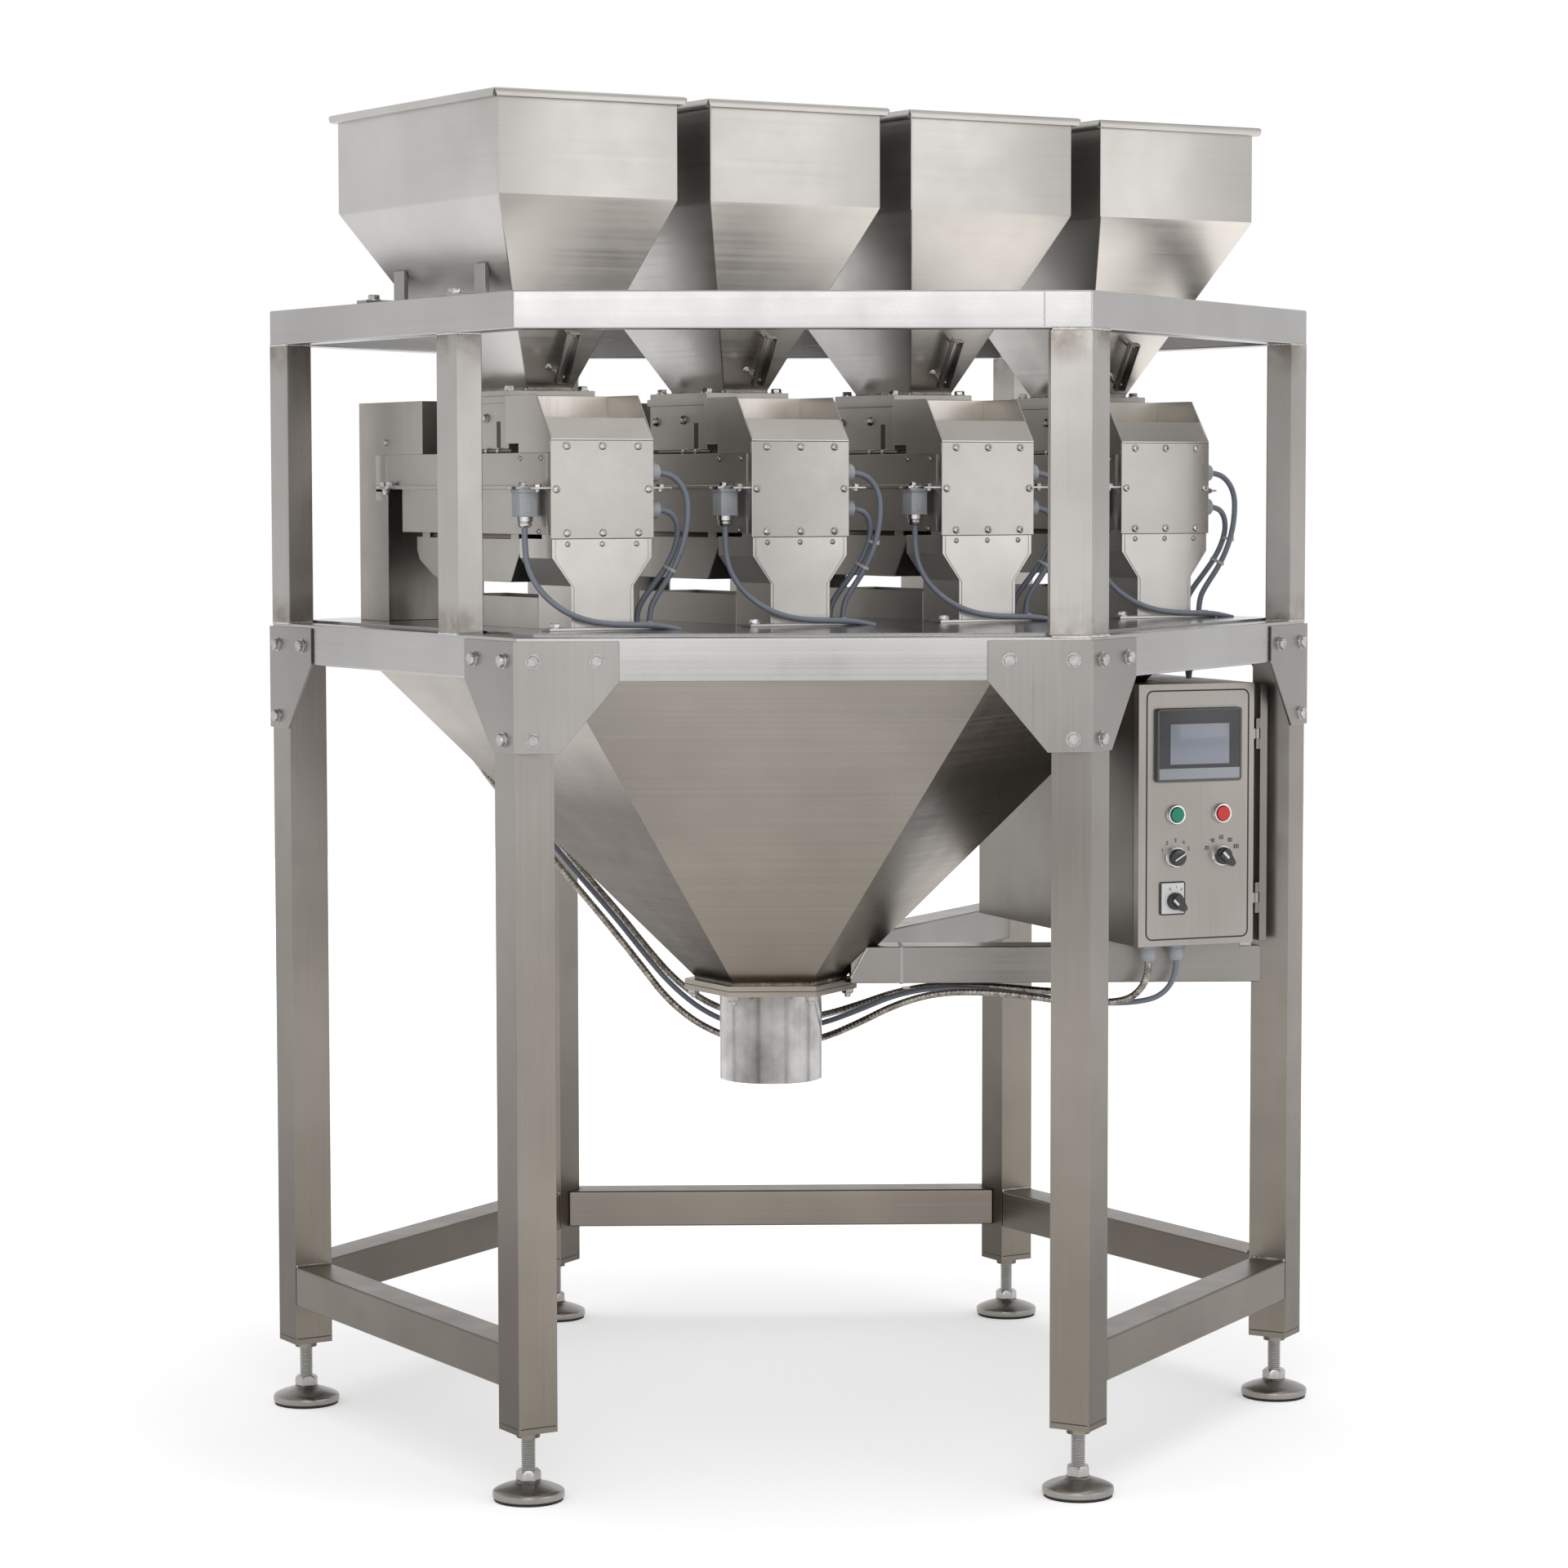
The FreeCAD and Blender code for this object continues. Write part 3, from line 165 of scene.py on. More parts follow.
def steel(name, dark, light, rough, grain="up", bump=0.10, blotch=2.6, stains=(), painted_low_shade=None, sides=()):
    """Brushed stainless: streaks along the grain and cloudy patches.

    stains are bands (start, end) of height where brown heat stain fades out towards the end.
    Painted shade (start, end, share) darkens and warms the colour in full up to the start height and is gone at
    the end height.
    sides are (way, (full, none), multiplier): faces that look that way get painted light where the multiplier is
    above one and painted shade where it is below, in full up to one height and not at all from the other on.
    """
    material, tree, shader = new_material(name)
    place = node_of(tree, "ShaderNodeTexCoord")
    scale = node_of(tree, "ShaderNodeMapping", vector_type="POINT", Scale=GRAINS[grain])
    split = node_of(tree, "ShaderNodeSeparateXYZ")
    tree.links.new(place.outputs["Object"], scale.inputs["Vector"])
    tree.links.new(place.outputs["Object"], split.inputs[0])
    height = split.outputs["Z"]
    streak = noise_of(tree, scale.outputs["Vector"], 1.0, 2.0, 0.55)
    cloud = noise_of(tree, place.outputs["Object"], blotch, 3.0, 0.55)
    smudge = noise_of(tree, place.outputs["Object"], 17.0, 4.0, 0.6)
    clouded = maths(tree, "MULTIPLY", ramped(tree, cloud, 0.32, 0.68), 0.55)
    colour = mixed(tree, maths(tree, "MULTIPLY_ADD", streak, 0.42, clouded), dark, light)
    for start, end in stains:
        band = ramped(tree, height, start, end, 1.0, 0.0)
        patchy = maths(tree, "MULTIPLY", band, ramped(tree, smudge, 0.38, 0.66))
        colour = mixed(tree, patchy, colour, (dark[0] * 0.5, dark[1] * 0.42, dark[2] * 0.34))
    # Painted shade: darker and warmer towards the bottom
    if painted_low_shade:
        start, end, share = painted_low_shade
        band = ramped(tree, height, start, end, 1.0, 0.0)
        colour = mixed(tree, band, colour, (share, share * 0.955, share * 0.88), "MULTIPLY")
    # Painted light and shade by the way a face looks
    for way, (full, none), painted_shading in sides:
        side = node_of(tree, "ShaderNodeVectorMath", operation="DOT_PRODUCT")
        side.inputs[1].default_value = Vector(way).normalized()
        tree.links.new(place.outputs["Normal"], side.inputs[0])
        turned = ramped(tree, side.outputs["Value"], 0.84, 0.97)
        band = ramped(tree, height, full, none, 1.0, 0.0)
        colour = mixed(tree, maths(tree, "MULTIPLY", turned, band), colour, painted_shading, "MULTIPLY")
    tree.links.new(colour, shader.inputs["Base Color"])
    wear = node_of(tree, "ShaderNodeMix", data_type="FLOAT")
    wear.inputs[0].default_value = 0.5
    tree.links.new(streak, wear.inputs[2])
    tree.links.new(smudge, wear.inputs[3])
    gloss = ramped(tree, wear.outputs[0], 0.25, 0.75, rough - 0.07, rough + 0.09)
    tree.links.new(gloss, shader.inputs["Roughness"])
    shader.inputs["Metallic"].default_value = 1.0
    add_relief(tree, shader, streak, bump, 0.0006)
    return material


def plain(name, dark, light, rough, scale=60.0, bump=0.05, metal=0.0, coat=0.0):
    """Moulded or painted surface with a fine mottle in its colour and gloss."""
    material, tree, shader = new_material(name)
    place = node_of(tree, "ShaderNodeTexCoord")
    mottle = noise_of(tree, place.outputs["Object"], scale, 4.0, 0.6)
    tree.links.new(mixed(tree, mottle, dark, light), shader.inputs["Base Color"])
    gloss = ramped(tree, mottle, 0.0, 1.0, max(rough - 0.05, 0.02), rough + 0.08)
    tree.links.new(gloss, shader.inputs["Roughness"])
    shader.inputs["Metallic"].default_value = metal
    shader.inputs["Coat Weight"].default_value = coat
    add_relief(tree, shader, mottle, bump, 0.0004)
    return material


# Steels of the frame. The upright tubes carry painted shade: darker and warmer towards the floor, and darker again
# low on their left and front right faces
tube_up = steel("tube_brushed_upright", (0.20, 0.184, 0.168), (0.325, 0.305, 0.284), 0.32,
                painted_low_shade=(0.25, 1.0, 0.98),
                sides=[((-1, 0, 0), (0.30, 0.95), (0.42, 0.41, 0.40)),
                       ((1, -1.732, 0), (0.30, 0.95), (0.50, 0.49, 0.48))])
post_up = steel("post_brushed_upright", (0.28, 0.264, 0.249), (0.44, 0.422, 0.404), 0.32,
                stains=[(1.197, 1.240), (1.612, 1.560)])
# Lower rails: painted light on faces that look to the front left, which only the back rail's inner face does
tube_level = steel("tube_brushed_level", (0.115, 0.098, 0.083), (0.19, 0.165, 0.142), 0.32, "level", 0.006,
                   sides=[((-0.5, -0.866, 0), ALL_OVER, (1.75, 1.78, 1.80))])
arm_level = steel("arm_brushed_level", (0.185, 0.173, 0.162), (0.31, 0.295, 0.28), 0.30, "level", 0.006)
ring_level = steel("ring_brushed_level", (0.33, 0.323, 0.318), (0.46, 0.454, 0.45), 0.28, "level", 0.004)
plate_satin = steel("plate_satin", (0.215, 0.202, 0.190), (0.335, 0.320, 0.306), 0.32, "up", 0.05)
mirror_dark = steel("deck_mirror", (0.22, 0.215, 0.21), (0.33, 0.325, 0.32), 0.14, "fine", 0.02)

# Sheet steels of the hoppers, heads, funnel and cabinet
CONE_FRONT, FUNNEL_LEFT, FUNNEL_RIGHT = (0, -0.8, -0.6), (-1.135, 0, -1), (0.5675, -0.983, -1)
# Hoppers: painted light on the cones' front slopes and painted shade on the bins' front faces
hopper_satin = steel("hopper_satin", (0.41, 0.396, 0.376), (0.57, 0.555, 0.533), 0.33, "level", 0.03, 3.4,
                     sides=[(CONE_FRONT, ALL_OVER, (1.38, 1.34, 1.30)), (FRONT, ALL_OVER, (0.90, 0.89, 0.88))])
cover_satin = steel("cover_satin", (0.38, 0.362, 0.339), (0.475, 0.456, 0.432), 0.36, "fine", 0.04, 4.0)
chute_satin = steel("chute_satin", (0.46, 0.440, 0.416), (0.575, 0.554, 0.528), 0.36, "fine", 0.04, 4.0)
# Hoods: painted light on their front faces
hood_satin = steel("hood_satin", (0.36, 0.342, 0.318), (0.47, 0.446, 0.417), 0.34, "up", 0.06, 5.0,
                   sides=[(FRONT, ALL_OVER, (1.60, 1.58, 1.56))])
body_satin = steel("body_satin", (0.30, 0.28, 0.26), (0.42, 0.40, 0.375), 0.34, "up", 0.06, 5.0)
# Funnel: painted shade that is darker and warmer towards the bottom, painted shade on the left faces below about 1
# m, and painted shade on the right faces from 0.8 m up, mostly taken back out by painted light above 1 m
funnel_satin = steel("funnel_satin", (0.27, 0.246, 0.218), (0.47, 0.434, 0.395), 0.30, "level", 0.01, 2.4,
                     painted_low_shade=(0.66, 1.06, 0.80),
                     sides=[(FUNNEL_LEFT, (0.93, 1.04), (0.24, 0.205, 0.175)),
                            (FUNNEL_RIGHT, (0.91, 0.80), (0.36, 0.33, 0.31)),
                            (FUNNEL_RIGHT, (1.05, 0.97), (2.6, 2.75, 2.85))])
# Spout: painted shade on its right side and, less, on its front left side
spout_satin = steel("spout_satin", (0.25, 0.24, 0.232), (0.60, 0.59, 0.58), 0.24, "up", 0.02, 20.0,
                    sides=[((0.95, -0.30, 0), ALL_OVER, (0.30, 0.285, 0.27)),
                           ((-0.70, -0.72, 0), ALL_OVER, (0.62, 0.61, 0.60))])
cabinet_box = steel("cabinet_box", (0.165, 0.150, 0.134), (0.25, 0.231, 0.210), 0.34, "up", 0.06, 3.0)
cabinet_satin = steel("cabinet_satin", (0.26, 0.242, 0.222), (0.37, 0.348, 0.322), 0.34, "up", 0.06, 3.0)

# Steels of small parts
turned_steel = steel("turned_steel", (0.34, 0.328, 0.315), (0.50, 0.488, 0.472), 0.30, "fine", 0.02, 12.0)
pad_steel = steel("pad_steel", (0.25, 0.236, 0.220), (0.40, 0.381, 0.358), 0.30, "fine", 0.02, 14.0)
bright_steel = steel("bright_steel", (0.34, 0.33, 0.32), (0.52, 0.51, 0.50), 0.26, "fine", 0.02, 40.0)
weld_metal = steel("weld_metal", (0.36, 0.33, 0.30), (0.66, 0.63, 0.60), 0.38, "fine", 0.25, 90.0)
hose_steel = steel("hose_steel", (0.03, 0.027, 0.024), (0.52, 0.48, 0.43), 0.24, "fine", 0.10, 90.0)
bolt_steel = steel("bolt_steel", (0.34, 0.33, 0.32), (0.56, 0.55, 0.54), 0.20, "fine", 0.02, 40.0)

# Plastics, rubber, paint, dark joints and the painted shade of the ducts' slots
cable_grey = plain("cable_sheath", (0.17, 0.19, 0.235), (0.22, 0.245, 0.30), 0.42, 500.0, 0.15)
grey_plastic = plain("grey_plastic", (0.36, 0.38, 0.41), (0.44, 0.46, 0.49), 0.46, 220.0, 0.08)
tie_plastic = plain("tie_plastic", (0.46, 0.46, 0.45), (0.58, 0.58, 0.57), 0.45, 300.0)
black_plastic = plain("black_plastic", (0.008, 0.008, 0.009), (0.016, 0.016, 0.018), 0.24, 180.0, 0.03,
                      coat=0.3)
black_line = plain("black_line", (0.012, 0.011, 0.010), (0.02, 0.018, 0.016), 0.6)
rubber = plain("foot_rubber", (0.006, 0.006, 0.006), (0.014, 0.014, 0.014), 0.7, 300.0)
dark_gap = plain("dark_gap", (0.012, 0.011, 0.010), (0.02, 0.018, 0.016), 0.5)
bezel_dark = plain("bezel_dark", (0.036, 0.034, 0.038), (0.050, 0.047, 0.052), 0.30, 260.0, 0.02)
bezel_rim = plain("bezel_rim", (0.085, 0.085, 0.090), (0.12, 0.12, 0.125), 0.4, 260.0)
strip_silver = plain("strip_silver", (0.33, 0.35, 0.385), (0.38, 0.40, 0.435), 0.35, 180.0, 0.03)
screen_glass = plain("screen_glass", (0.24, 0.265, 0.325), (0.28, 0.305, 0.365), 0.12, 9.0, 0.0, coat=0.4)
green_cap = plain("green_cap", (0.0, 0.21, 0.125), (0.004, 0.27, 0.165), 0.32, 120.0, 0.02)
red_cap = plain("red_cap", (0.58, 0.022, 0.022), (0.70, 0.040, 0.035), 0.32, 120.0, 0.02)
chrome = plain("ring_chrome", (0.62, 0.62, 0.61), (0.74, 0.74, 0.73), 0.2, 200.0, 0.02, metal=1.0)
white_plate = plain("white_plate", (0.72, 0.72, 0.71), (0.80, 0.80, 0.79), 0.34, 140.0, 0.02)
mark_white = plain("mark_white", (0.74, 0.74, 0.72), (0.82, 0.82, 0.80), 0.4)

FINISH = {
    "legs": tube_up, "upper_posts": post_up, "lower_rails": tube_level, "cabinet_arms": arm_level,
    "table_ring": ring_level, "top_ring": ring_level, "corner_plates": plate_satin,
    "foot_screws": turned_steel, "foot_pads": turned_steel, "foot_rubbers": rubber,
    "deck_front": mirror_dark, "deck_back": mirror_dark,
    "funnel": funnel_satin, "spout": spout_satin, "inlets": body_satin, "head_housings": body_satin,
    "front_covers": cover_satin, "hoods": hood_satin, "stands": body_satin, "pans": body_satin,
    "chutes": chute_satin, "catch_boxes": body_satin, "connectors": grey_plastic,
    "hopper_grips": plate_satin, "hopper_brackets": plate_satin, "cabinet": cabinet_box,
    "door": cabinet_satin, "screen_frame": bezel_dark, "screen": screen_glass, "bezels": chrome,
    "green_button": green_cap, "red_button": red_cap, "left_dial": black_plastic,
    "right_dial": black_plastic, "switch_plate": white_plate, "main_switch": black_plastic,
    "cabinet_glands": grey_plastic}
for number in range(1, 5):
    FINISH["hopper_%d" % number] = hopper_satin
for name, material in FINISH.items():
    nodes[name].data.materials.clear()
    nodes[name].data.materials.append(material)


def soften(name, width, segments):
    """Rounded folds and tube corners on a carried-over solid."""
    piece = nodes[name]
    weld = piece.modifiers.new("weld", "WELD")
    weld.merge_threshold = 0.00002
    bevel = piece.modifiers.new("bevel", "BEVEL")
    bevel.width = width
    bevel.segments = segments
    bevel.limit_method = "ANGLE"
    bevel.angle_limit = math.radians(28)
    piece.data.shade_smooth()
    smooth = piece.modifiers.new("normals", "WEIGHTED_NORMAL")
    smooth.keep_sharp = True


for width, segments, names in [
        (0.0035, 3, ["legs", "lower_rails", "cabinet_arms"]),
        (0.0025, 2, ["table_ring", "top_ring", "upper_posts"]),
        (0.0008, 2, ["corner_plates", "head_housings", "hoods", "inlets", "stands", "chutes", "cabinet"]),
        (0.0010, 2, ["front_covers", "hopper_brackets", "pans", "catch_boxes"]),
        (0.0012, 3, ["green_button", "red_button"]),
        (0.0025, 3, ["door"])]:
    for name in names:
        soften(name, width, segments)

# Building pieces in mesh code


def facing(point, direction, spin=0.0):
    """Placement whose local Z looks along direction."""
    quaternion = Vector(direction).normalized().to_track_quat("Z", "Y")
    return Matrix.Translation(point) @ quaternion.to_matrix().to_4x4() @ Matrix.Rotation(spin, 4, "Z")


def skin(mesh, rings, closed=False, caps=True):
    """Faces between rings of vertices. The last ring joins the first, or the ends may get caps."""
    pairs = list(zip(rings, rings[1:]))
    if closed:
        pairs.append((rings[-1], rings[0]))
    count = len(rings[0])
    for low, high in pairs:
        for i in range(count):
            j = (i + 1) % count
            mesh.faces.new((low[i], low[j], high[j], high[i]))
    if caps and not closed:
        mesh.faces.new(list(reversed(rings[0])))
        mesh.faces.new(rings[-1])


def add_loops(mesh, loops, caps=True):
    """Skin between loops with the same number of points."""
    skin(mesh, [[mesh.verts.new(Vector(point)) for point in loop] for loop in loops], caps=caps)


def add_turned(mesh, place, profile, count=24):
    """Solid turned from (radius, height[, 'hex']) rings; hex rings follow a hexagon of that half width."""
    loops = []
    for ring in profile:
        loop = []
        for i in range(count):
            angle = 2 * math.pi * i / count
            radius = ring[0]
            if len(ring) > 2:
                radius = ring[0] / math.cos((angle + math.pi / 6) % (math.pi / 3) - math.pi / 6)
            loop.append(place @ Vector((radius * math.cos(angle), radius * math.sin(angle), ring[1])))
        loops.append(loop)
    add_loops(mesh, loops)


def add_block(mesh, corner, opposite, round_by=0.0, place=Matrix()):
    """Box between two opposite corners, its edges rounded by round_by."""
    made = bmesh.ops.create_cube(mesh, size=1.0)["verts"]
    size = [abs(b - a) for a, b in zip(corner, opposite)]
    middle = [(a + b) / 2 for a, b in zip(corner, opposite)]
    for vert in made:
        vert.co = Vector([m + v * s for m, v, s in zip(middle, vert.co, size)])
    if round_by:
        edges = list({edge for vert in made for edge in vert.link_edges})
        result = bmesh.ops.bevel(mesh, geom=made + edges, offset=round_by, segments=2, profile=0.5,
                                 affect="EDGES", clamp_overlap=True)
        made = list({vert for face in result["faces"] for vert in face.verts})
    for vert in made:
        vert.co = place @ vert.co


def add_bead(mesh, points, radius, pitch=0.0032):
    """Rippled weld bead along a run of points."""
    for a, b in zip(points, points[1:]):
        a, b = Vector(a), Vector(b)
        way = (b - a).normalized()
        side = way.orthogonal().normalized()
        other = way.cross(side)
        steps = max(2, int((b - a).length / (pitch / 3)))
        rings = []
        for i in range(steps + 1):
            centre = a.lerp(b, i / steps)
            swell = 0.78 + 0.26 * abs(math.sin(math.pi * (a - centre).length / pitch))
            swell *= 0.92 + 0.16 * chance.random()
            if i in (0, steps):
                swell *= 0.6
            rings.append([mesh.verts.new(centre + radius * swell * (
                side * math.cos(k * math.pi / 3) + other * math.sin(k * math.pi / 3))) for k in range(6)])
        skin(mesh, rings)


def add_strip(mesh, path, profile, closed=False):
    """Sweeps a closed profile (side, up) along stations (point, side way, up way)."""
    skin(mesh, [[mesh.verts.new(Vector(point) + Vector(side) * a + Vector(up) * b) for a, b in profile]
                for point, side, up in path], closed)


def circle(place, radius, height, count):
    """Points round a placement's Z, at a height along it."""
    step = 2 * math.pi / count
    return [place @ Vector((radius * math.cos(i * step), radius * math.sin(i * step), height))
            for i in range(count)]


def rounded_outline(x0, x1, y0, y1, radius, steps=5):
    """Points and outward ways round a rectangle with rounded corners, anticlockwise."""
    out = []
    for cx, cy, start in ((x1 - radius, y1 - radius, 0), (x0 + radius, y1 - radius, 90),
                          (x0 + radius, y0 + radius, 180), (x1 - radius, y0 + radius, 270)):
        for i in range(steps + 1):
            angle = math.radians(start + 90 * i / steps)
            c, s = math.cos(angle), math.sin(angle)
            out.append((cx + radius * c, cy + radius * s, c, s))
    return out


def hex_bolt(mesh, point, direction, half_width, height, washer=0.0):
    """Hexagon-head bolt at a chance turn, on a washer of that radius if there is one."""
    place = facing(point, direction, chance.random() * math.pi / 3)
    if washer:
        add_turned(mesh, place, [(washer, 0), (washer, 0.0012), (washer - 0.0004, 0.0016)], 28)
    base = 0.0016 if washer else 0.0
    add_turned(mesh, place, [
        (half_width, base, "hex"), (half_width, base + height * 0.82, "hex"), (half_width * 0.93, base + height),
        (half_width * 0.80, base + height), (half_width * 0.76, base + height * 0.93)])


def button_screw(mesh, point, direction, radius):
    """Domed screw head with a hexagon socket."""
    shape = [(1, 0), (1, 0.12), (0.93, 0.34), (0.78, 0.50), (0.56, 0.60), (0.40, 0.62, "hex"), (0.38, 0.16, "hex")]
    add_turned(mesh, facing(point, direction, chance.random() * math.pi / 3),
               [(radius * ring[0], radius * ring[1], *ring[2:]) for ring in shape])


def finish_piece(mesh, name, material, body="frame", angle=35):
    """Turns the collected mesh into a named piece that rides on its body."""
    bmesh.ops.recalc_face_normals(mesh, faces=mesh.faces)
    data = bpy.data.meshes.new(name)
    mesh.to_mesh(data)
    mesh.free()
    data.shade_smooth()
    data.set_sharp_from_angle(angle=math.radians(angle))
    data.materials.append(material)
    piece = bpy.data.objects.new(name, data)
    scene.collection.objects.link(piece)
    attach(piece, body)
    return piece


# Cords


def spline_points(name, points):
    """Smooth curve data through a route's control points."""
    data = bpy.data.curves.new(name, "CURVE")
    data.dimensions = "3D"
    spline = data.splines.new("NURBS")
    spline.points.add(len(points) - 1)
    for target, point in zip(spline.points, points):
        target.co = (*point, 1)
    spline.order_u = 3
    spline.use_endpoint_u = True
    spline.resolution_u = 14
    return data


def round_cable(name, points, node):
    data = spline_points(name, points)
    data.bevel_depth = CABLE / 2
    data.bevel_resolution = 5
    data.use_fill_caps = True
    data.materials.append(cable_grey)
    cable = bpy.data.objects.new(name, data)
    scene.collection.objects.link(cable)
    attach(cable, "frame")
    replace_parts(cable, node)


def line_of(points):
    """Points along the route's smooth curve."""
    holder = bpy.data.objects.new("route", spline_points("route", points))
    scene.collection.objects.link(holder)
    bpy.context.view_layer.update()
    mesh = bpy.data.meshes.new_from_object(holder)
    line = [vert.co.copy() for vert in mesh.vertices]
    bpy.data.objects.remove(holder)
    return line


def resampled(line, step):
    """Evenly spaced points on a line, from its start to its end."""
    out = [line[0].copy()]
    left = step
    for a, b in zip(line, line[1:]):
        run = (b - a).length
        while left <= run:
            out.append(a.lerp(b, left / run))
            left += step
        left -= run
    out.append(line[-1].copy())
    return out


def braided_hose(name, points, node):
    """Hose in a braid of crossing strands: a mesh tube along the route's curve."""
    line = resampled(line_of(points), 0.0011)
    mesh = bmesh.new()
    count = 18
    rings = []
    side = (line[1] - line[0]).orthogonal().normalized()
    for i, centre in enumerate(line):
        way = (line[min(i + 1, len(line) - 1)] - line[max(i - 1, 0)]).normalized()
        side = (side - way * side.dot(way)).normalized()
        other = way.cross(side)
        ring = []
        for k in range(count):
            angle = 2 * math.pi * k / count
            lean = math.pi * i / 6
            wave = abs(math.sin(1.5 * angle + lean)) * abs(math.sin(1.5 * angle - lean))
            radius = HOSE / 2 * (0.92 + 0.12 * wave)
            ring.append(mesh.verts.new(centre + radius * (side * math.cos(angle) + other * math.sin(angle))))
        rings.append(ring)
    skin(mesh, rings)
    hose = finish_piece(mesh, name, hose_steel, "frame", 60)
    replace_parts(hose, node)


plug_route = [
    (-0.100, -0.250, 1.342), (-0.100, -0.250, 1.316), (-0.098, -0.254, 1.288), (-0.090, -0.264, 1.262),
    (-0.077, -0.281, 1.240), (-0.057, -0.297, 1.223), (-0.032, -0.307, 1.213), (-0.003, -0.312, 1.208),
    (0.027, -0.314, 1.2065), (0.055, -0.3155, 1.206), (0.082, -0.3165, 1.2045), (0.1114, -0.317, 1.198)]
upper_route = [
    (0.094, -0.268, 1.419), (0.118, -0.268, 1.419), (0.1388, -0.2685, 1.407), (0.1508, -0.269, 1.386),
    (0.152, -0.269, 1.360), (0.149, -0.267, 1.330), (0.141, -0.263, 1.300), (0.129, -0.256, 1.272),
    (0.115, -0.248, 1.248), (0.104, -0.242, 1.225), (0.104, -0.242, 1.199)]
lower_route = [
    (0.094, -0.268, 1.367), (0.116, -0.268, 1.367), (0.134, -0.264, 1.356), (0.143, -0.258, 1.336),
    (0.141, -0.252, 1.312), (0.132, -0.245, 1.288), (0.118, -0.236, 1.264), (0.104, -0.228, 1.243),
    (0.094, -0.222, 1.222), (0.094, -0.222, 1.199)]
for number, x in enumerate(HEADS, 1):
    for kind, route, length in [
            ("plug", plug_route, 0.317), ("upper", upper_route, 0.270), ("lower", lower_route, 0.218)]:
        round_cable("%s_cable_%d" % (kind, number), [(x + px, py, pz) for px, py, pz in route],
                    "cable_%s_%d" % (kind, number))


def rising_end(number, way_x, way_y):
    """Last points of a run that turns up into a gland, coming along the way given."""
    x, y, z = CAB @ Vector((*GLANDS[number], -0.026))
    return [(x - way_x * 0.041, y - way_y * 0.041, z - 0.063), (x - way_x * 0.015, y - way_y * 0.015, z - 0.048),
            (x, y, z - 0.022), (x, y, z)]


outer_route = [
    (-0.345, 0.558, 1.135), (-0.345, 0.558, 1.095), (-0.322, 0.528, 1.040), (-0.286, 0.476, 0.960),
    (-0.242, 0.412, 0.872), (-0.198, 0.342, 0.786), (-0.160, 0.285, 0.716), (-0.128, 0.242, 0.656),
    (-0.100, 0.206, 0.602), (-0.062, 0.168, 0.562), (-0.018, 0.128, 0.540), (0.034, 0.084, 0.534),
    (0.080, 0.038, 0.546), (0.114, -0.014, 0.574), (0.146, -0.068, 0.606), (0.192, -0.112, 0.626),
    (0.246, -0.160, 0.629), (0.298, -0.210, 0.624), (0.344, -0.264, 0.616)] + rising_end(0, 0.65, -0.76)
inner_route = [
    (-0.306, 0.582, 1.135), (-0.306, 0.582, 1.104), (-0.288, 0.558, 1.054), (-0.256, 0.508, 0.976),
    (-0.212, 0.440, 0.888), (-0.168, 0.368, 0.802), (-0.130, 0.310, 0.734), (-0.100, 0.268, 0.676),
    (-0.070, 0.234, 0.628), (-0.032, 0.198, 0.592), (0.010, 0.160, 0.574), (0.058, 0.116, 0.568),
    (0.102, 0.068, 0.578), (0.138, 0.020, 0.598), (0.176, -0.026, 0.620), (0.224, -0.062, 0.631),
    (0.276, -0.092, 0.630), (0.328, -0.122, 0.626), (0.376, -0.152, 0.620)] + rising_end(2, 0.84, -0.54)
main_route = [
    (-0.325, 0.570, 1.135), (-0.325, 0.570, 1.100), (-0.304, 0.544, 1.046), (-0.270, 0.492, 0.968),
    (-0.226, 0.424, 0.880), (-0.180, 0.354, 0.794), (-0.142, 0.296, 0.726), (-0.112, 0.254, 0.668),
    (-0.084, 0.222, 0.622), (-0.048, 0.184, 0.582), (-0.006, 0.146, 0.560), (0.044, 0.102, 0.554),
    (0.088, 0.056, 0.566), (0.124, 0.006, 0.590), (0.160, -0.046, 0.618), (0.208, -0.088, 0.631),
    (0.260, -0.128, 0.630), (0.310, -0.174, 0.623), (0.354, -0.226, 0.616),
    (0.394, -0.280, 0.613)] + rising_end(1, 0.70, -0.71)
braided_hose("outer_hose", outer_route, "hose_outer")
braided_hose("inner_hose", inner_route, "hose_inner")
round_cable("main_cable", main_route, "cable_main")

# Bolts, welds and dark joints of the frame


def ring_point(beam, along, out, z):
    """Point at a place along a beam and a distance out from the machine's middle."""
    c, s = math.cos(math.radians(beam)), math.sin(math.radians(beam))
    return Vector((c * out - s * along, s * out + c * along, z))


def corner_bolts():
    """Three bolts on each wing of the corner plates, which are 4 mm thick."""
    mesh = bmesh.new()
    for beam in range(0, 360, 60):
        for side in (-1, 1):
            for inset, z in ((0.025, 1.163), (0.112, 1.163), (0.025, 1.055)):
                hex_bolt(mesh, ring_point(beam, side * (HALF_SIDE - inset), RING + 0.004, z),
                         ring_point(beam, 0, 1, 0), *M10)
    finish_piece(mesh, "corner_bolts", bolt_steel)


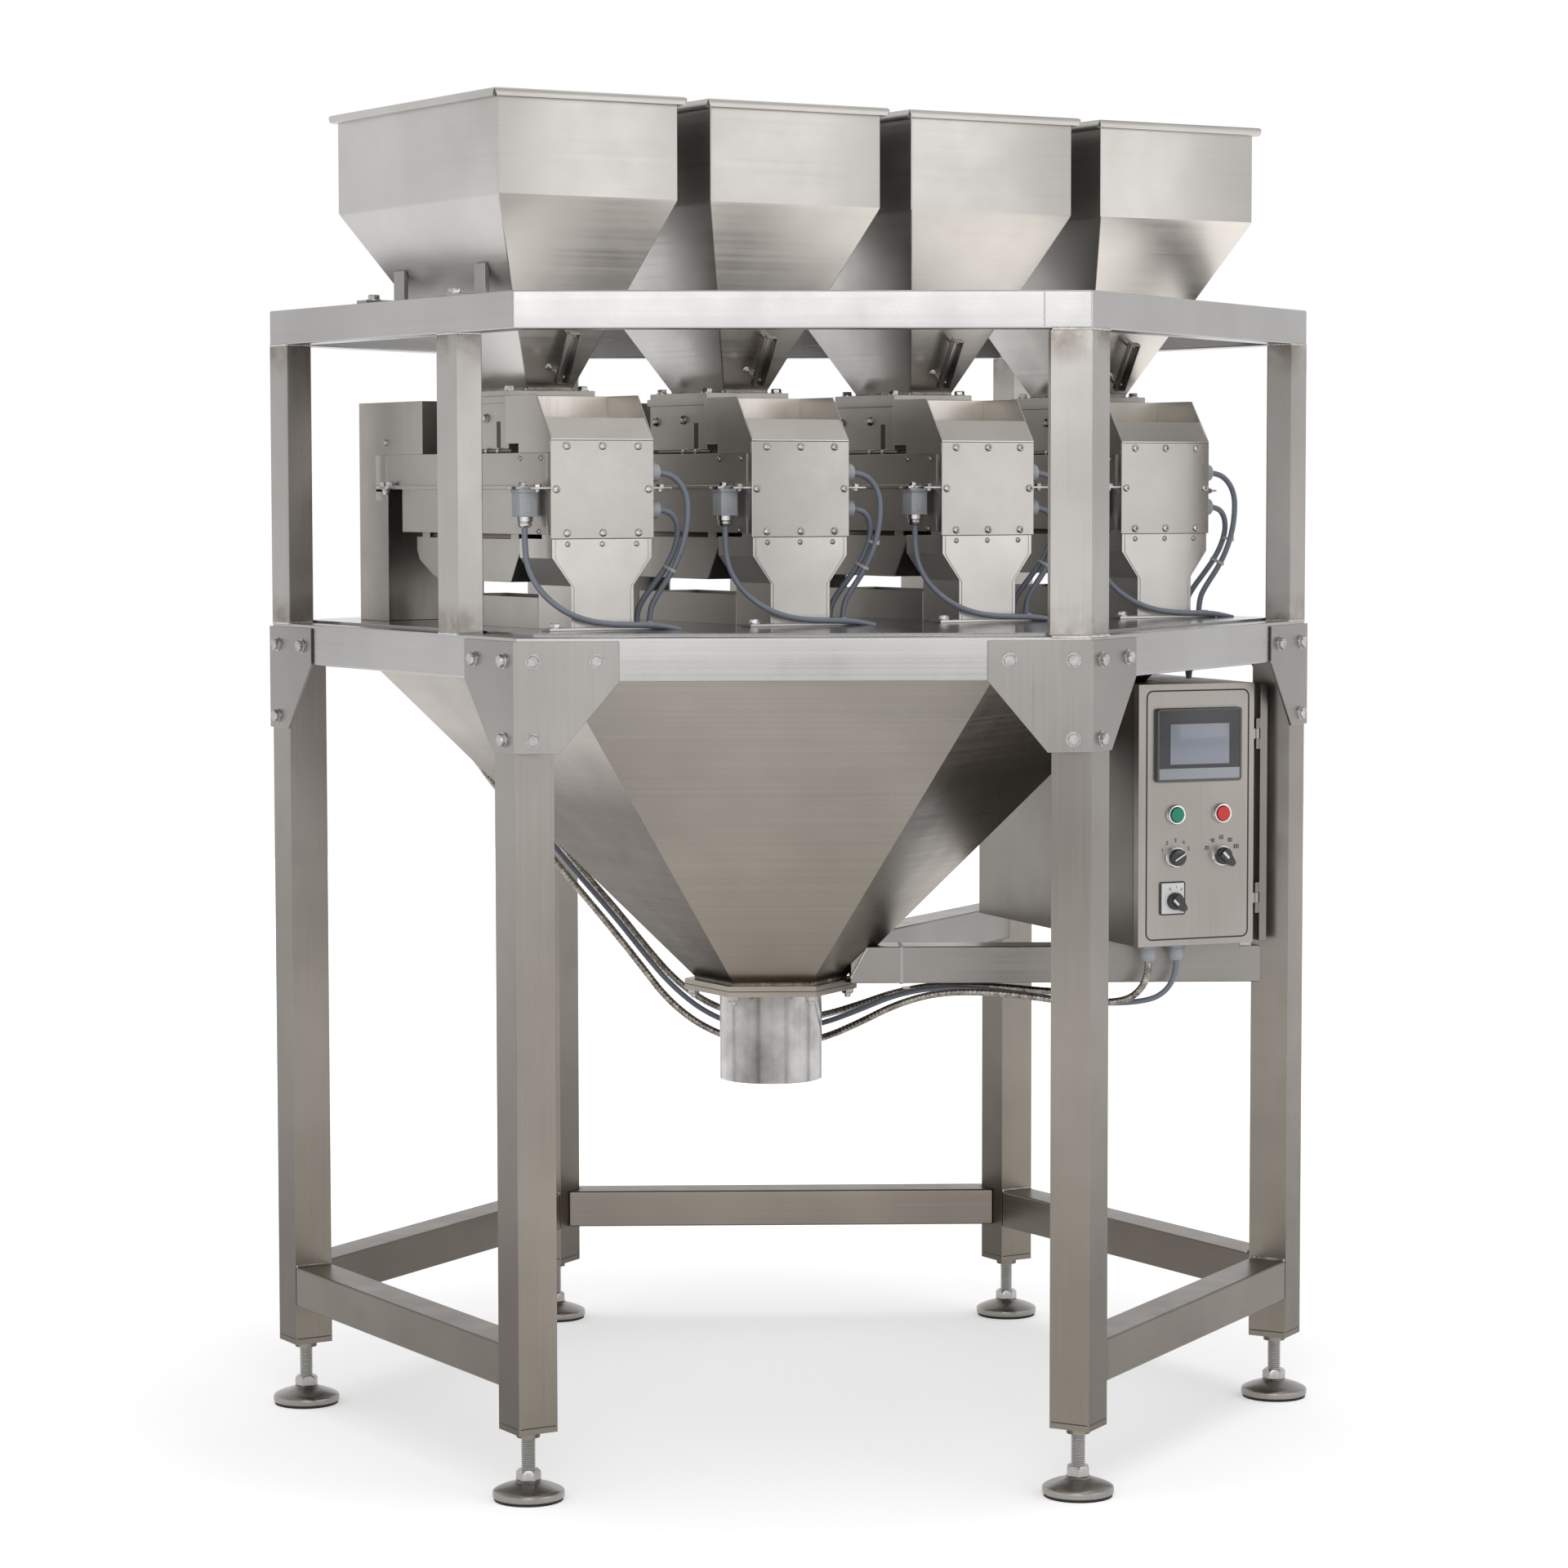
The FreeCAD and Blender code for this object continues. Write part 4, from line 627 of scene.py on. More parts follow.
def frame_welds():
    """Beads round the posts' ends, over the rails' ends and beside the arms."""
    mesh = bmesh.new()
    outer, inner, half = RING - 0.001, RING - 0.039, 0.029
    for beam, along in ((180, 0.030 - HALF_SIDE), (180, HALF_SIDE - 0.198), (-60, HALF_SIDE - 0.030),
                        (0, HALF_SIDE - 0.030)):
        for z in POST_ENDS:
            loop = ((-half, outer), (half, outer), (half, inner), (-half, inner), (-half, outer))
            add_bead(mesh, [ring_point(beam, along + da, out, z) for da, out in loop], 0.0024)
    # The posts at the front and back corners show their two outer faces
    for angle in (-90, 90):
        for z in POST_ENDS:
            bend = ((0.0484, 0.027), (0.0, 0.001), (-0.0484, 0.027))
            add_bead(mesh, [ring_point(angle, along, CORNER - back, z) for along, back in bend], 0.0024)
    for beam, side in ((0, -1), (0, 1), (120, -1), (180, -1), (180, 1), (300, -1), (300, 1)):
        along = side * (HALF_SIDE - 0.0605)
        add_bead(mesh, [ring_point(beam, along, RING - back, 0.2175) for back in (0.059, 0.001)], 0.0028)
    # Each arm has a bead along both sides, up the funnel's slope
    for low, high in [
            ((0.0629, -0.0710, 0.6520), (0.0851, -0.0838, 0.6990)),
            ((0.0784, -0.0443, 0.6572), (0.1160, -0.0660, 0.6990)),
            ((0.0720, 0.0726, 0.6520), (0.1128, 0.0998, 0.6990)),
            ((0.0929, 0.0190, 0.6738), (0.1160, 0.0323, 0.6990))]:
        add_bead(mesh, [low, high], 0.0020)
    finish_piece(mesh, "frame_welds", weld_metal)


def standing_beads(name, material, spots, out, low, high, radius, pitch):
    """Upright beads at (beam, along) spots, between two heights."""
    mesh = bmesh.new()
    for beam, along in spots:
        add_bead(mesh, [ring_point(beam, along, out, low), ring_point(beam, along, out, high)], radius, pitch)
    finish_piece(mesh, name, material)


def leg_plate_seams():
    """Dark joint over each leg's end plate."""
    mesh = bmesh.new()
    half = TUBE / 2 + 0.00015
    for spot, (beam, side) in zip(LEG_SPOTS, LEGS):
        place = Matrix.Translation(spot) @ Matrix.Rotation(math.radians(beam), 4, "Z")
        outline = rounded_outline(-half, half, -half, half, 0.0035)
        add_loops(mesh, [[place @ Vector((x, y, z)) for x, y, _, _ in outline] for z in (0.1050, 0.1064)])
    finish_piece(mesh, "leg_plate_seams", dark_gap)


def levelling_feet():
    """Domed pads, and screws with a boss, a lock nut and a thread."""
    pads = bmesh.new()
    screws = bmesh.new()
    dome = [
        (0.0440, 0.0040), (0.0488, 0.0040), (0.0498, 0.0050), (0.0500, 0.0070), (0.0500, 0.0115),
        (0.0494, 0.0132), (0.0478, 0.0146), (0.0440, 0.0166), (0.0380, 0.0192), (0.0310, 0.0217),
        (0.0250, 0.0236), (0.0200, 0.0252), (0.0180, 0.0262), (0.0172, 0.0272)]
    screw = [(0.0155, 0.0268), (0.0172, 0.0282), (0.0150, 0.0290, "hex"), (0.0150, 0.0395, "hex"),
             (0.0139, 0.0428), (0.0104, 0.0432)]
    crest, root, pitch = 0.0099, 0.0084, 0.0030
    for k in range(15):
        z = 0.0436 + k * pitch
        screw += [(crest, z + 0.0004), (crest, z + 0.0011), (root, z + 0.0019), (root, z + 0.0023)]
    screw += [(0.0098, 0.0880)]
    for spot in LEG_SPOTS:
        place = Matrix.Translation(spot) @ Matrix.Rotation(chance.random(), 4, "Z")
        add_turned(pads, place, dome, 56)
        add_turned(screws, place, screw, 36)
    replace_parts(finish_piece(pads, "foot_pad_domes", pad_steel), "foot_pads")
    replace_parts(finish_piece(screws, "foot_screw_threads", turned_steel, "frame", 30), "foot_screws")


# Legs by the beam that they stand under and the end of it that they stand at
LEGS = ((0, 1), (120, -1), (180, -1), (180, 1), (300, -1), (300, 1))
LEG_SPOTS = [ring_point(beam, side * (HALF_SIDE - TUBE / 2), RING - TUBE / 2, 0) for beam, side in LEGS]
corner_bolts()
frame_welds()
PLATE_EDGE = HALF_SIDE - 0.1425
standing_beads("plate_edge_welds", dark_gap, [(180, -PLATE_EDGE), (300, PLATE_EDGE), (0, -PLATE_EDGE),
                                              (120, PLATE_EDGE)], RING + 0.0008, 1.1380, 1.1890, 0.0016, 0.0050)
standing_beads("ring_butt_welds", ring_level, [(60, 0.3266), (240, 0.3266)], RING - 0.0007, 1.6140, 1.6620,
               0.0013, 0.0046)
leg_plate_seams()
levelling_feet()

# Hoppers

LIP_PROFILE = [
    (-0.0005, 1.9320), (0.0078, 1.9320), (0.0095, 1.9328), (0.0100, 1.9345), (0.0100, 1.9396),
    (0.0092, 1.9420), (0.0076, 1.9434), (0.0056, 1.9440), (0.0010, 1.9440), (-0.0012, 1.9434),
    (-0.0020, 1.9420), (-0.0020, 1.9320)]
WALL_SECTIONS = [(0.0, THROAT_Z), (0.985, 1.7962), (1.0, 1.8010), (1.0, 1.9400)]
WALL = 0.002


def between(start, end, part):
    return start + (end - start) * part


def wall_loop(throat_x, bin_x, part, inset, z):
    """Loop round the hopper; part runs from 0 at the throat to 1 at the bin."""
    x0 = between(throat_x - THROAT_HALF, bin_x - BIN_HALF, part) + inset
    x1 = between(throat_x + THROAT_HALF, bin_x + BIN_HALF, part) - inset
    y0 = between(THROAT_FRONT, BIN_FRONT, part) + inset
    y1 = between(THROAT_BACK, BIN_BACK, part) - inset
    return [(px, py, z) for px, py, _, _ in rounded_outline(x0, x1, y0, y1, 0.0026 - inset * 0.6, 3)]


def add_lip(mesh, bin_x):
    """Rolled lip along the bin's four sides, with a V left open at each corner."""
    corners = [(bin_x - BIN_HALF, BIN_FRONT), (bin_x + BIN_HALF, BIN_FRONT),
               (bin_x + BIN_HALF, BIN_BACK), (bin_x - BIN_HALF, BIN_BACK)]
    for k in range(4):
        a, b = Vector((*corners[k], 0)), Vector((*corners[(k + 1) % 4], 0))
        way = (b - a).normalized()
        out = Vector((way.y, -way.x, 0))
        loops = []
        for end, sign in ((a, -1), (b, 1)):
            loop = []
            for offset, z in LIP_PROFILE:
                # Mitred end, drawn back towards its lower edge to leave the V at the corner
                back = 0.0052 * max(0.0, min(1.0, (1.9425 - z) / 0.0105))
                loop.append(end + way * sign * (offset - back) + out * offset + Vector((0, 0, z)))
            loops.append(loop)
        add_loops(mesh, loops)


def hopper_shell(number, throat_x, bin_x):
    """Sheet bin with its skew cone, open above and below."""
    mesh = bmesh.new()
    outer = [wall_loop(throat_x, bin_x, part, 0.0, z) for part, z in WALL_SECTIONS]
    inner = [wall_loop(throat_x, bin_x, part, WALL, z) for part, z in reversed(WALL_SECTIONS)]
    add_loops(mesh, outer + inner + [outer[0]], caps=False)
    bmesh.ops.remove_doubles(mesh, verts=mesh.verts, dist=0.00001)
    add_lip(mesh, bin_x)
    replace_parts(finish_piece(mesh, "hopper_shell_%d" % number, hopper_satin, "frame", 24), "hopper_%d" % number)


def hopper_grips():
    """Grips on the front slopes: a shallow channel on two studs, with screws and a cross rod."""
    grips = bmesh.new()
    screws = bmesh.new()
    half, reach, wall = 0.0090, 0.040, 0.0016
    base, floor, rim = -0.0160, -0.0180, -0.0260
    slope = (THROAT_FRONT - BIN_FRONT) / CONE_RISE
    z = 1.592
    for x in HEADS:
        place = Matrix.Translation((x + 0.002, THROAT_FRONT - slope * (z - THROAT_Z), z))
        place = place @ Matrix.Rotation(math.atan(slope), 4, "X")
        for corner, opposite in [
                ((-half, floor, -reach), (half, base, reach)),
                ((-half, rim, -reach), (wall - half, base, reach)),
                ((half - wall, rim, -reach), (half, base, reach)),
                ((-half, rim, reach - wall), (half, base, reach)),
                ((-half, rim, -reach), (half, base, wall - reach))]:
            add_block(grips, corner, opposite, 0.0004, place)
        for pz in (-0.033, 0.033):
            add_turned(grips, place @ facing((0, 0, pz), FRONT), [(0.005, 0.0), (0.005, 0.0165)], 20)
            for px in (-0.004, 0.004):
                button_screw(screws, place @ Vector((px, floor, pz)), place.to_3x3() @ Vector(FRONT), 0.0022)
        start, end = place @ Vector((-0.0080, -0.021, -0.030)), place @ Vector((-0.0280, -0.022, -0.014))
        run = (end - start).length
        add_turned(screws, facing(start, end - start), [
            (0.0018, 0.0), (0.0018, run - 0.004), (0.0042, run - 0.004), (0.0046, run - 0.002),
            (0.0042, run + 0.001), (0.0030, run + 0.0015)], 18)
    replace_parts(finish_piece(grips, "grip_channels", plate_satin), "hopper_grips")
    finish_piece(screws, "grip_screws", bright_steel)


for number, (throat_x, bin_x) in enumerate(zip(HEADS, BINS), 1):
    hopper_shell(number, throat_x, bin_x)
hopper_grips()

# Fasteners and small parts of the heads, each kind collected from all four heads

HEAD_PIECES = {
    "pivot_shafts": tube_level, "band_ends": body_satin, "pan_mounts": tube_level,
    "cover_screws": bolt_steel, "chute_screws": turned_steel, "neck_bolts": bolt_steel,
    "throat_welds": weld_metal, "side_screws": turned_steel, "cover_side_folds": body_satin,
    "cross_strips": bright_steel, "duct_slot_shades": dark_gap}
heads = {name: bmesh.new() for name in HEAD_PIECES}


def head_front(x):
    """Screws of the front cover and the chute, bolts at the necks and the throat's weld."""
    for dx, z in ((-0.057, 1.456), (0, 1.456), (0.057, 1.456), (-0.0735, 1.396), (0.0735, 1.396),
                  (-0.057, 1.335), (0, 1.335), (0.057, 1.335)):
        button_screw(heads["cover_screws"], (x + dx, COVER_FACE, z), FRONT, 0.0056)
    for dx in (-0.055, 0, 0.055):
        button_screw(heads["chute_screws"], (x + dx, CHUTE_FACE, 1.3195), FRONT, 0.0040)
    for dx in (-0.076, 0.076):
        hex_bolt(heads["neck_bolts"], (x + dx, -0.292, 1.203), UP, *M8)
    for dx in (-0.059, 0.059):
        for y in (-0.130, 0.002):
            hex_bolt(heads["neck_bolts"], (x + dx, y, THROAT_Z), UP, *M8)
    left, right = x - THROAT_HALF, x + THROAT_HALF
    loop = ((left, THROAT_FRONT), (right, THROAT_FRONT), (right, THROAT_BACK), (left, THROAT_BACK),
            (left, THROAT_FRONT))
    add_bead(heads["throat_welds"], [(px, py, THROAT_Z + 0.0015) for px, py in loop], 0.0034)


def head_side(x, side):
    """Side screws, folded edges of the cover, a dark plate of painted shade for the duct's slot, and the strip
    under the cover's edge.
    """
    face, duct = x + side * BODY_HALF, x + side * DUCT_HALF
    strips = heads["cross_strips"]
    for y, z in ((-0.199, 1.4390), (-0.260, 1.4395), (-0.2535, 1.3370)):
        button_screw(heads["side_screws"], (face, y, z), (side, 0, 0), 0.0036)
    for low, high in ((1.3330, 1.3958), (1.4012, 1.4465)):
        add_block(heads["cover_side_folds"], (face, -0.2920, low), (face + side * 0.0011, -0.2775, high), 0.0004)
    for y, z in ((0.002, 1.495), (-0.079, 1.497)):
        hex_bolt(heads["side_screws"], (duct, y, z), (side, 0, 0), *M6)
    # The duct's slot is a thin dark plate on the face: painted shade of a recess
    add_block(heads["duct_slot_shades"], (duct, -0.1220, 1.4550), (duct + side * 0.0003, -0.1110, 1.4920))
    if x == HEADS[-1] and side == 1:
        # The last head has a stud with a nut where the others have a strip
        add_turned(strips, facing((face, -0.285, 1.3915), (1, 0, 0)), [
            (0.0036, 0.0, "hex"), (0.0036, 0.0125, "hex"), (0.0019, 0.0127), (0.0019, 0.0225),
            (0.0013, 0.0235)], 24)
        return
    low, high = 1.3962, 1.3990
    add_block(strips, (face + side * 0.0002, -0.2935, low), (face + side * 0.032, -0.2755, high), 0.0005)
    hex_bolt(strips, (x + side * 0.098, -0.2845, high), UP, 0.0050, 0.0042)
    hex_bolt(strips, (x + side * 0.098, -0.2845, low), DOWN, 0.0034, 0.0040)


def head_back(x):
    """What closes the housing up to its stand, the mount down into the pan, and a bolted tab."""
    strips = heads["cross_strips"]
    left, right, stand = x - BODY_HALF, x + BODY_HALF, 0.2632
    add_block(heads["band_ends"], (left, 0.2246, 1.4010), (right, stand, 1.4470), 0.0006)
    for wing in (left, right - 0.0030):
        add_block(heads["band_ends"], (wing, 0.2220, 1.3795), (wing + 0.0030, stand, 1.3925), 0.0004)
    add_block(heads["pan_mounts"], (x - 0.0585, -0.1500, 1.3190), (x + 0.0585, 0.1450, 1.3335), 0.0008)
    bolt_x, low, high = x - 0.0885, 1.3975, 1.4005
    add_block(strips, (left - 0.0150, 0.1900, low), (left, 0.2320, high), 0.0005)
    hex_bolt(strips, (bolt_x, 0.2200, high), UP, 0.0048, 0.0045, 0.0070)
    hex_bolt(strips, (bolt_x, 0.1990, high), UP, 0.0048, 0.0068)
    hex_bolt(strips, (bolt_x, 0.2090, low), DOWN, 0.0056, 0.0080, 0.0085)
    hex_bolt(heads["side_screws"], (left, 0.2265, 1.4650), (-1, 0, 0), 0.0040, 0.0035)


def pivot_shafts(x):
    """Two shafts in the dark joint under the inlet, with two nuts each."""
    for side in (-1, 1):
        shaft = facing((x + side * 0.0715, -0.012, 1.4500), FRONT)
        add_turned(heads["pivot_shafts"], shaft, [(0.0028, 0.0), (0.0028, 0.150)], 14)
        for at in (0.072, 0.108):
            add_turned(heads["cross_strips"], shaft, [(0.0046, at, "hex"), (0.0046, at + 0.0060, "hex")], 18)


def chute_folds():
    """Raised fold lines down each chute's outer edges."""
    mesh = bmesh.new()
    for x in HEADS:
        for side in (-1, 1):
            line = ((0.0452, 1.2035), (0.0452, 1.2590), (0.0740, 1.2990), (0.0740, 1.3265))
            path = [((x + side * out, CHUTE_FACE - 0.0003, z), (1, 0, 0), FRONT) for out, z in line]
            add_strip(mesh, path, [(-0.0006, 0.0), (0.0006, 0.0), (0.0003, 0.0005), (-0.0003, 0.0005)])
    finish_piece(mesh, "chute_folds", chute_satin)


def head_plugs():
    """Plug with its ribs and nut at each head's left, and the two round glands at its right."""
    bodies = bmesh.new()
    nuts = bmesh.new()
    for x in HEADS:
        middle = x + PLUG_X
        for half_x, half_y, low, high, round_by in [
                (0.0140, 0.0130, 1.3580, 1.3930, 0.0026), (0.0154, 0.0142, 1.3912, 1.3960, 0.0012),
                (0.0143, 0.0133, 1.3578, 1.3596, 0.0008)]:
            add_block(bodies, (middle - half_x, PLUG_Y - half_y, low), (middle + half_x, PLUG_Y + half_y, high),
                      round_by)
        add_block(bodies, (middle - 0.0034, -0.2645, 1.3640), (middle + 0.0034, -0.2620, 1.3780), 0.0008)
        add_block(nuts, (middle - 0.0190, -0.2620, 1.3960), (x - 0.0795, -0.2380, 1.3998), 0.0006)
        hex_bolt(nuts, (middle, -0.2440, 1.3998), UP, 0.0050, 0.0044, 0.0070)
        add_turned(nuts, facing((middle, PLUG_Y, 1.358), DOWN), [
            (0.0096, -0.0004), (0.0104, 0.0004, "hex"), (0.0104, 0.0068, "hex"), (0.0094, 0.0074),
            (0.0092, 0.0082), (0.0100, 0.0088), (0.0100, 0.0122), (0.0084, 0.0146), (0.0054, 0.0156)], 30)
        for z in SIDE_GLANDS:
            add_turned(bodies, facing((x + BODY_HALF, -0.268, z), (1, 0, 0)), [
                (0.0133, 0.0), (0.0134, 0.0150), (0.0132, 0.0192), (0.0122, 0.0218), (0.0096, 0.0232),
                (0.0050, 0.0236)], 36)
    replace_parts(finish_piece(bodies, "plug_bodies", grey_plastic), "connectors")
    finish_piece(nuts, "plug_nuts", bolt_steel)


for x in HEADS:
    head_front(x)
    head_side(x, -1)
    head_side(x, 1)
    head_back(x)
    pivot_shafts(x)
for name, material in HEAD_PIECES.items():
    finish_piece(heads[name], name, material)
chute_folds()
head_plugs()

# Cabinet glands and cable ties


def cabinet_glands():
    mesh = bmesh.new()
    for gland in GLANDS:
        add_turned(mesh, facing(CAB @ Vector((*gland, 0)), DOWN), [
            (0.0126, 0.0), (0.0130, 0.0006, "hex"), (0.0130, 0.0058, "hex"), (0.0120, 0.0066), (0.0124, 0.0074),
            (0.0124, 0.0168), (0.0112, 0.0206), (0.0092, 0.0240), (0.0068, 0.0258), (0.0058, 0.0260)], 36)
    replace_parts(finish_piece(mesh, "cabinet_gland_bodies", grey_plastic), "cabinet_glands")


def band_profile(thick, width):
    return [(0, -width / 2), (thick, -width / 2), (thick, width / 2), (0, width / 2)]


def tie_band(mesh, middle, way, side, half_side, half_other):
    """Flat band round a bundle: way runs along the bundle, side across its widest."""
    way = Vector(way).normalized()
    side = (Vector(side) - way * Vector(side).dot(way)).normalized()
    other = way.cross(side)
    path = []
    for i in range(28):
        c, s = math.cos(2 * math.pi * i / 28), math.sin(2 * math.pi * i / 28)
        point = Vector(middle) + side * half_side * c + other * half_other * s
        path.append((point, (side * c / half_side + other * s / half_other).normalized(), way))
    add_strip(mesh, path, band_profile(0.0011, 0.0042), True)


def cable_ties():
    """Ties round the heads' cables, one fewer at the first head, and one round the front arm."""
    mesh = bmesh.new()
    for number, x in enumerate(HEADS):
        spots = [((0.1318, -0.2512, 1.2830), (-0.012, 0.007, -0.026), 0.0125)]
        if number:
            spots.append(((0.1455, -0.2590, 1.3180), (-0.006, 0.004, -0.028), 0.0108))
        for (px, py, pz), way, reach in spots:
            tie_band(mesh, (x + px, py, pz), way, (0.35, -1, 0), reach, 0.0050)
            add_block(mesh, (-0.003, -0.0025, -0.003), (0.003, 0.0025, 0.003), 0.0006,
                      Matrix.Translation((x + px + 0.003, py - 0.0065, pz)))
    arm = Matrix.Rotation(math.radians(-30), 4, "Z")
    path = []
    for a, z, out_a, out_z in rounded_outline(-0.0304, 0.0304, 0.6436, 0.7004, 0.0045, 4):
        path.append((arm @ Vector((0.168, a, z)), arm @ Vector((0, out_a, out_z)), arm @ Vector((1, 0, 0))))
    add_strip(mesh, path, band_profile(0.0012, 0.0048), True)
    head = arm @ Vector((0.1705, -0.0290, 0.6405))
    add_block(mesh, (-0.002, -0.004, -0.005), (0.010, 0.000, -0.0012), 0.0006, Matrix.Translation(head))
    finish_piece(mesh, "cable_tie_bands", tie_plastic)


cabinet_glands()
cable_ties()

# Funnel flange and outlet tube


def hexagon_loop(apothem, z):
    radius = apothem / math.cos(math.radians(30))
    return [FUNNEL @ Vector((radius * math.cos(math.radians(a)), radius * math.sin(math.radians(a)), z))
            for a in range(30, 390, 60)]


def funnel_outlet():
    """Flange bolts and seam, the outlet tube with its rounded mouth, and the welds above both."""
    bolts = bmesh.new()
    seam = bmesh.new()
    weld = bmesh.new()
    tube = bmesh.new()
    for angle in range(30, 390, 60):
        around = FUNNEL @ Matrix.Rotation(math.radians(angle), 4, "Z")
        hex_bolt(bolts, around @ Vector((0.1175, 0, 0.634)), DOWN, *M10)
        add_turned(bolts, facing(around @ Vector((0.1175, 0, 0.6275)), DOWN), [
            (0.0048, 0.0), (0.0050, 0.0035), (0.0042, 0.0072)], 18)
    add_loops(seam, [hexagon_loop(0.1142, 0.6414), hexagon_loop(0.1142, 0.6426)])
    loop = hexagon_loop(0.0992, 0.6512)
    add_bead(weld, loop + [loop[0]], 0.0026)
    finish_piece(bolts, "flange_bolts", turned_steel)
    finish_piece(seam, "flange_seam", dark_gap)
    add_loops(tube, [circle(FUNNEL, radius, z, 120) for radius, z in [
        (0.0766, 0.4970), (0.0778, 0.4974), (0.0780, 0.4984), (0.0780, 0.6340), (0.0750, 0.6340),
        (0.0750, 0.4984), (0.0753, 0.4974), (0.0766, 0.4970)]], caps=False)
    bmesh.ops.remove_doubles(tube, verts=tube.verts, dist=0.00001)
    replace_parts(finish_piece(tube, "spout_tube", spout_satin), "spout")
    loop = circle(FUNNEL, 0.0788, 0.6335, 48)
    add_bead(weld, loop + [loop[0]], 0.0016)
    finish_piece(weld, "funnel_weld", weld_metal)


def bracket_bolts():
    mesh = bmesh.new()
    for side in (-1, 1):
        for y in (0.090, -0.165):
            hex_bolt(mesh, (side * 0.652, y, 1.669), UP, *M10)
    finish_piece(mesh, "bracket_bolts", bolt_steel)


funnel_outlet()
bracket_bolts()

# Front of the cabinet


def on_door(name, material, blocks, body="door", place=CAB):
    """Piece made of blocks (corner, opposite corner, rounding) on the door."""
    mesh = bmesh.new()
    for corner, opposite, round_by in blocks:
        add_block(mesh, corner, opposite, round_by, place)
    return finish_piece(mesh, name, material, body)


def door_frame(name, material, x0, x1, z0, z1, radius, profile):
    """Profile (outward, towards the viewer) swept round a rounded rectangle on the door."""
    mesh = bmesh.new()
    turn = CAB.to_3x3()
    path = []
    for x, z, out_x, out_z in rounded_outline(x0, x1, z0, z1, radius, 6):
        path.append((CAB @ Vector((x, 0, z)), turn @ Vector((out_x, 0, out_z)), turn @ Vector(FRONT)))
    add_strip(mesh, path, profile, True)
    return finish_piece(mesh, name, material, "door")


def cabinet_screw_and_stop():
    """Screw on the cabinet's side, and the rubber stop that hangs from the table beside it."""
    screw = bmesh.new()
    turn = CAB.to_3x3()
    button_screw(screw, CAB @ Vector((0.0, 0.0287, CAB_TOP - 0.0075)), turn @ Vector((-1, 0, 0)), 0.0042)
    finish_piece(screw, "cabinet_screws", turned_steel)
    stop = bmesh.new()
    add_turned(stop, facing((0.316, -0.5835, 1.1352), DOWN), [
        (0.0062, 0.0), (0.0062, 0.0020), (0.0050, 0.0026), (0.0040, 0.0120), (0.0032, 0.0130)], 28)
    finish_piece(stop, "rubber_stop", rubber)


def control_panel():
    """The display with its rim, its face and the light strip under it."""
    rim = door_frame("panel_rim", bezel_rim, 0.0285, 0.1695, CAB_TOP - 0.1455, CAB_TOP - 0.0375, 0.004, [
        (-0.0015, 0.0), (0.0015, 0.0), (0.0015, 0.0062), (0.0006, 0.0076), (-0.0006, 0.0080), (-0.0022, 0.0078),
        (-0.0030, 0.0066)])
    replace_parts(rim, "screen_frame")
    on_door("panel_face", bezel_dark, [
        ((0.0280, -0.0070, CAB_TOP - 0.1258), (0.1700, 0.0, CAB_TOP - 0.0370), 0.0006),
        ((0.0480, -0.0074, CAB_TOP - 0.1215), (0.1500, -0.0060, CAB_TOP - 0.0585), 0.0002)])
    on_door("panel_strip", strip_silver, [
        ((0.0295, -0.0071, CAB_TOP - 0.1445), (0.1685, 0.0, CAB_TOP - 0.1262), 0.0005)])
    pane = on_door("screen_pane", screen_glass, [
        ((0.0492, -0.0078, CAB_TOP - 0.1204), (0.1488, -0.0060, CAB_TOP - 0.0596), 0.0004)])
    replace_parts(pane, "screen")


def control_rings():
    """Chrome rings of the two push buttons, with dark seals, and of the two dials."""
    rings = bmesh.new()
    seals = bmesh.new()
    for x in CONTROLS:
        place = CAB @ facing((x, 0, CAB_TOP - BUTTONS_DOWN), FRONT)
        add_loops(rings, [circle(place, radius, out, 48) for radius, out in [
            (0.0152, 0.0), (0.0152, 0.0022), (0.0148, 0.0028), (0.0144, 0.0032), (0.0144, 0.0044),
            (0.0146, 0.0048), (0.0146, 0.0058), (0.0140, 0.0068), (0.0126, 0.0072), (0.0116, 0.0068),
            (0.0114, 0.0)]], caps=False)
        add_loops(seals, [circle(place, radius, out, 48) for radius, out in [
            (0.0118, 0.0004), (0.0118, 0.0066), (0.0111, 0.0068), (0.0109, 0.0004)]], caps=False)
        add_turned(rings, CAB @ facing((x, 0, CAB_TOP - DIALS_DOWN), FRONT), [
            (0.0160, 0.0), (0.0160, 0.0020), (0.0155, 0.0026), (0.0152, 0.0030), (0.0152, 0.0042),
            (0.0155, 0.0046), (0.0155, 0.0054), (0.0150, 0.0060), (0.0136, 0.0060), (0.0134, 0.0056)], 48)
    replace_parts(finish_piece(rings, "control_rings", chrome, "door"), "bezels")
    finish_piece(seals, "button_seals", black_plastic, "door")


BAR = ([(-0.0022, -0.0105), (0.0022, -0.0105), (0.0022, 0.0110), (-0.0022, 0.0110)],
       ((0.0060, 1.0), (0.0092, 1.0), (0.0098, 0.85)))
LEVER = ([(-0.0088, -0.0100), (0.0088, -0.0100), (0.0080, 0.0060), (0.0050, 0.0165),
          (0.0030, 0.0198), (-0.0030, 0.0198), (-0.0050, 0.0165), (-0.0080, 0.0060)],
         ((0.0010, 1.0), (0.0110, 0.98), (0.0138, 0.90), (0.0146, 0.74)))


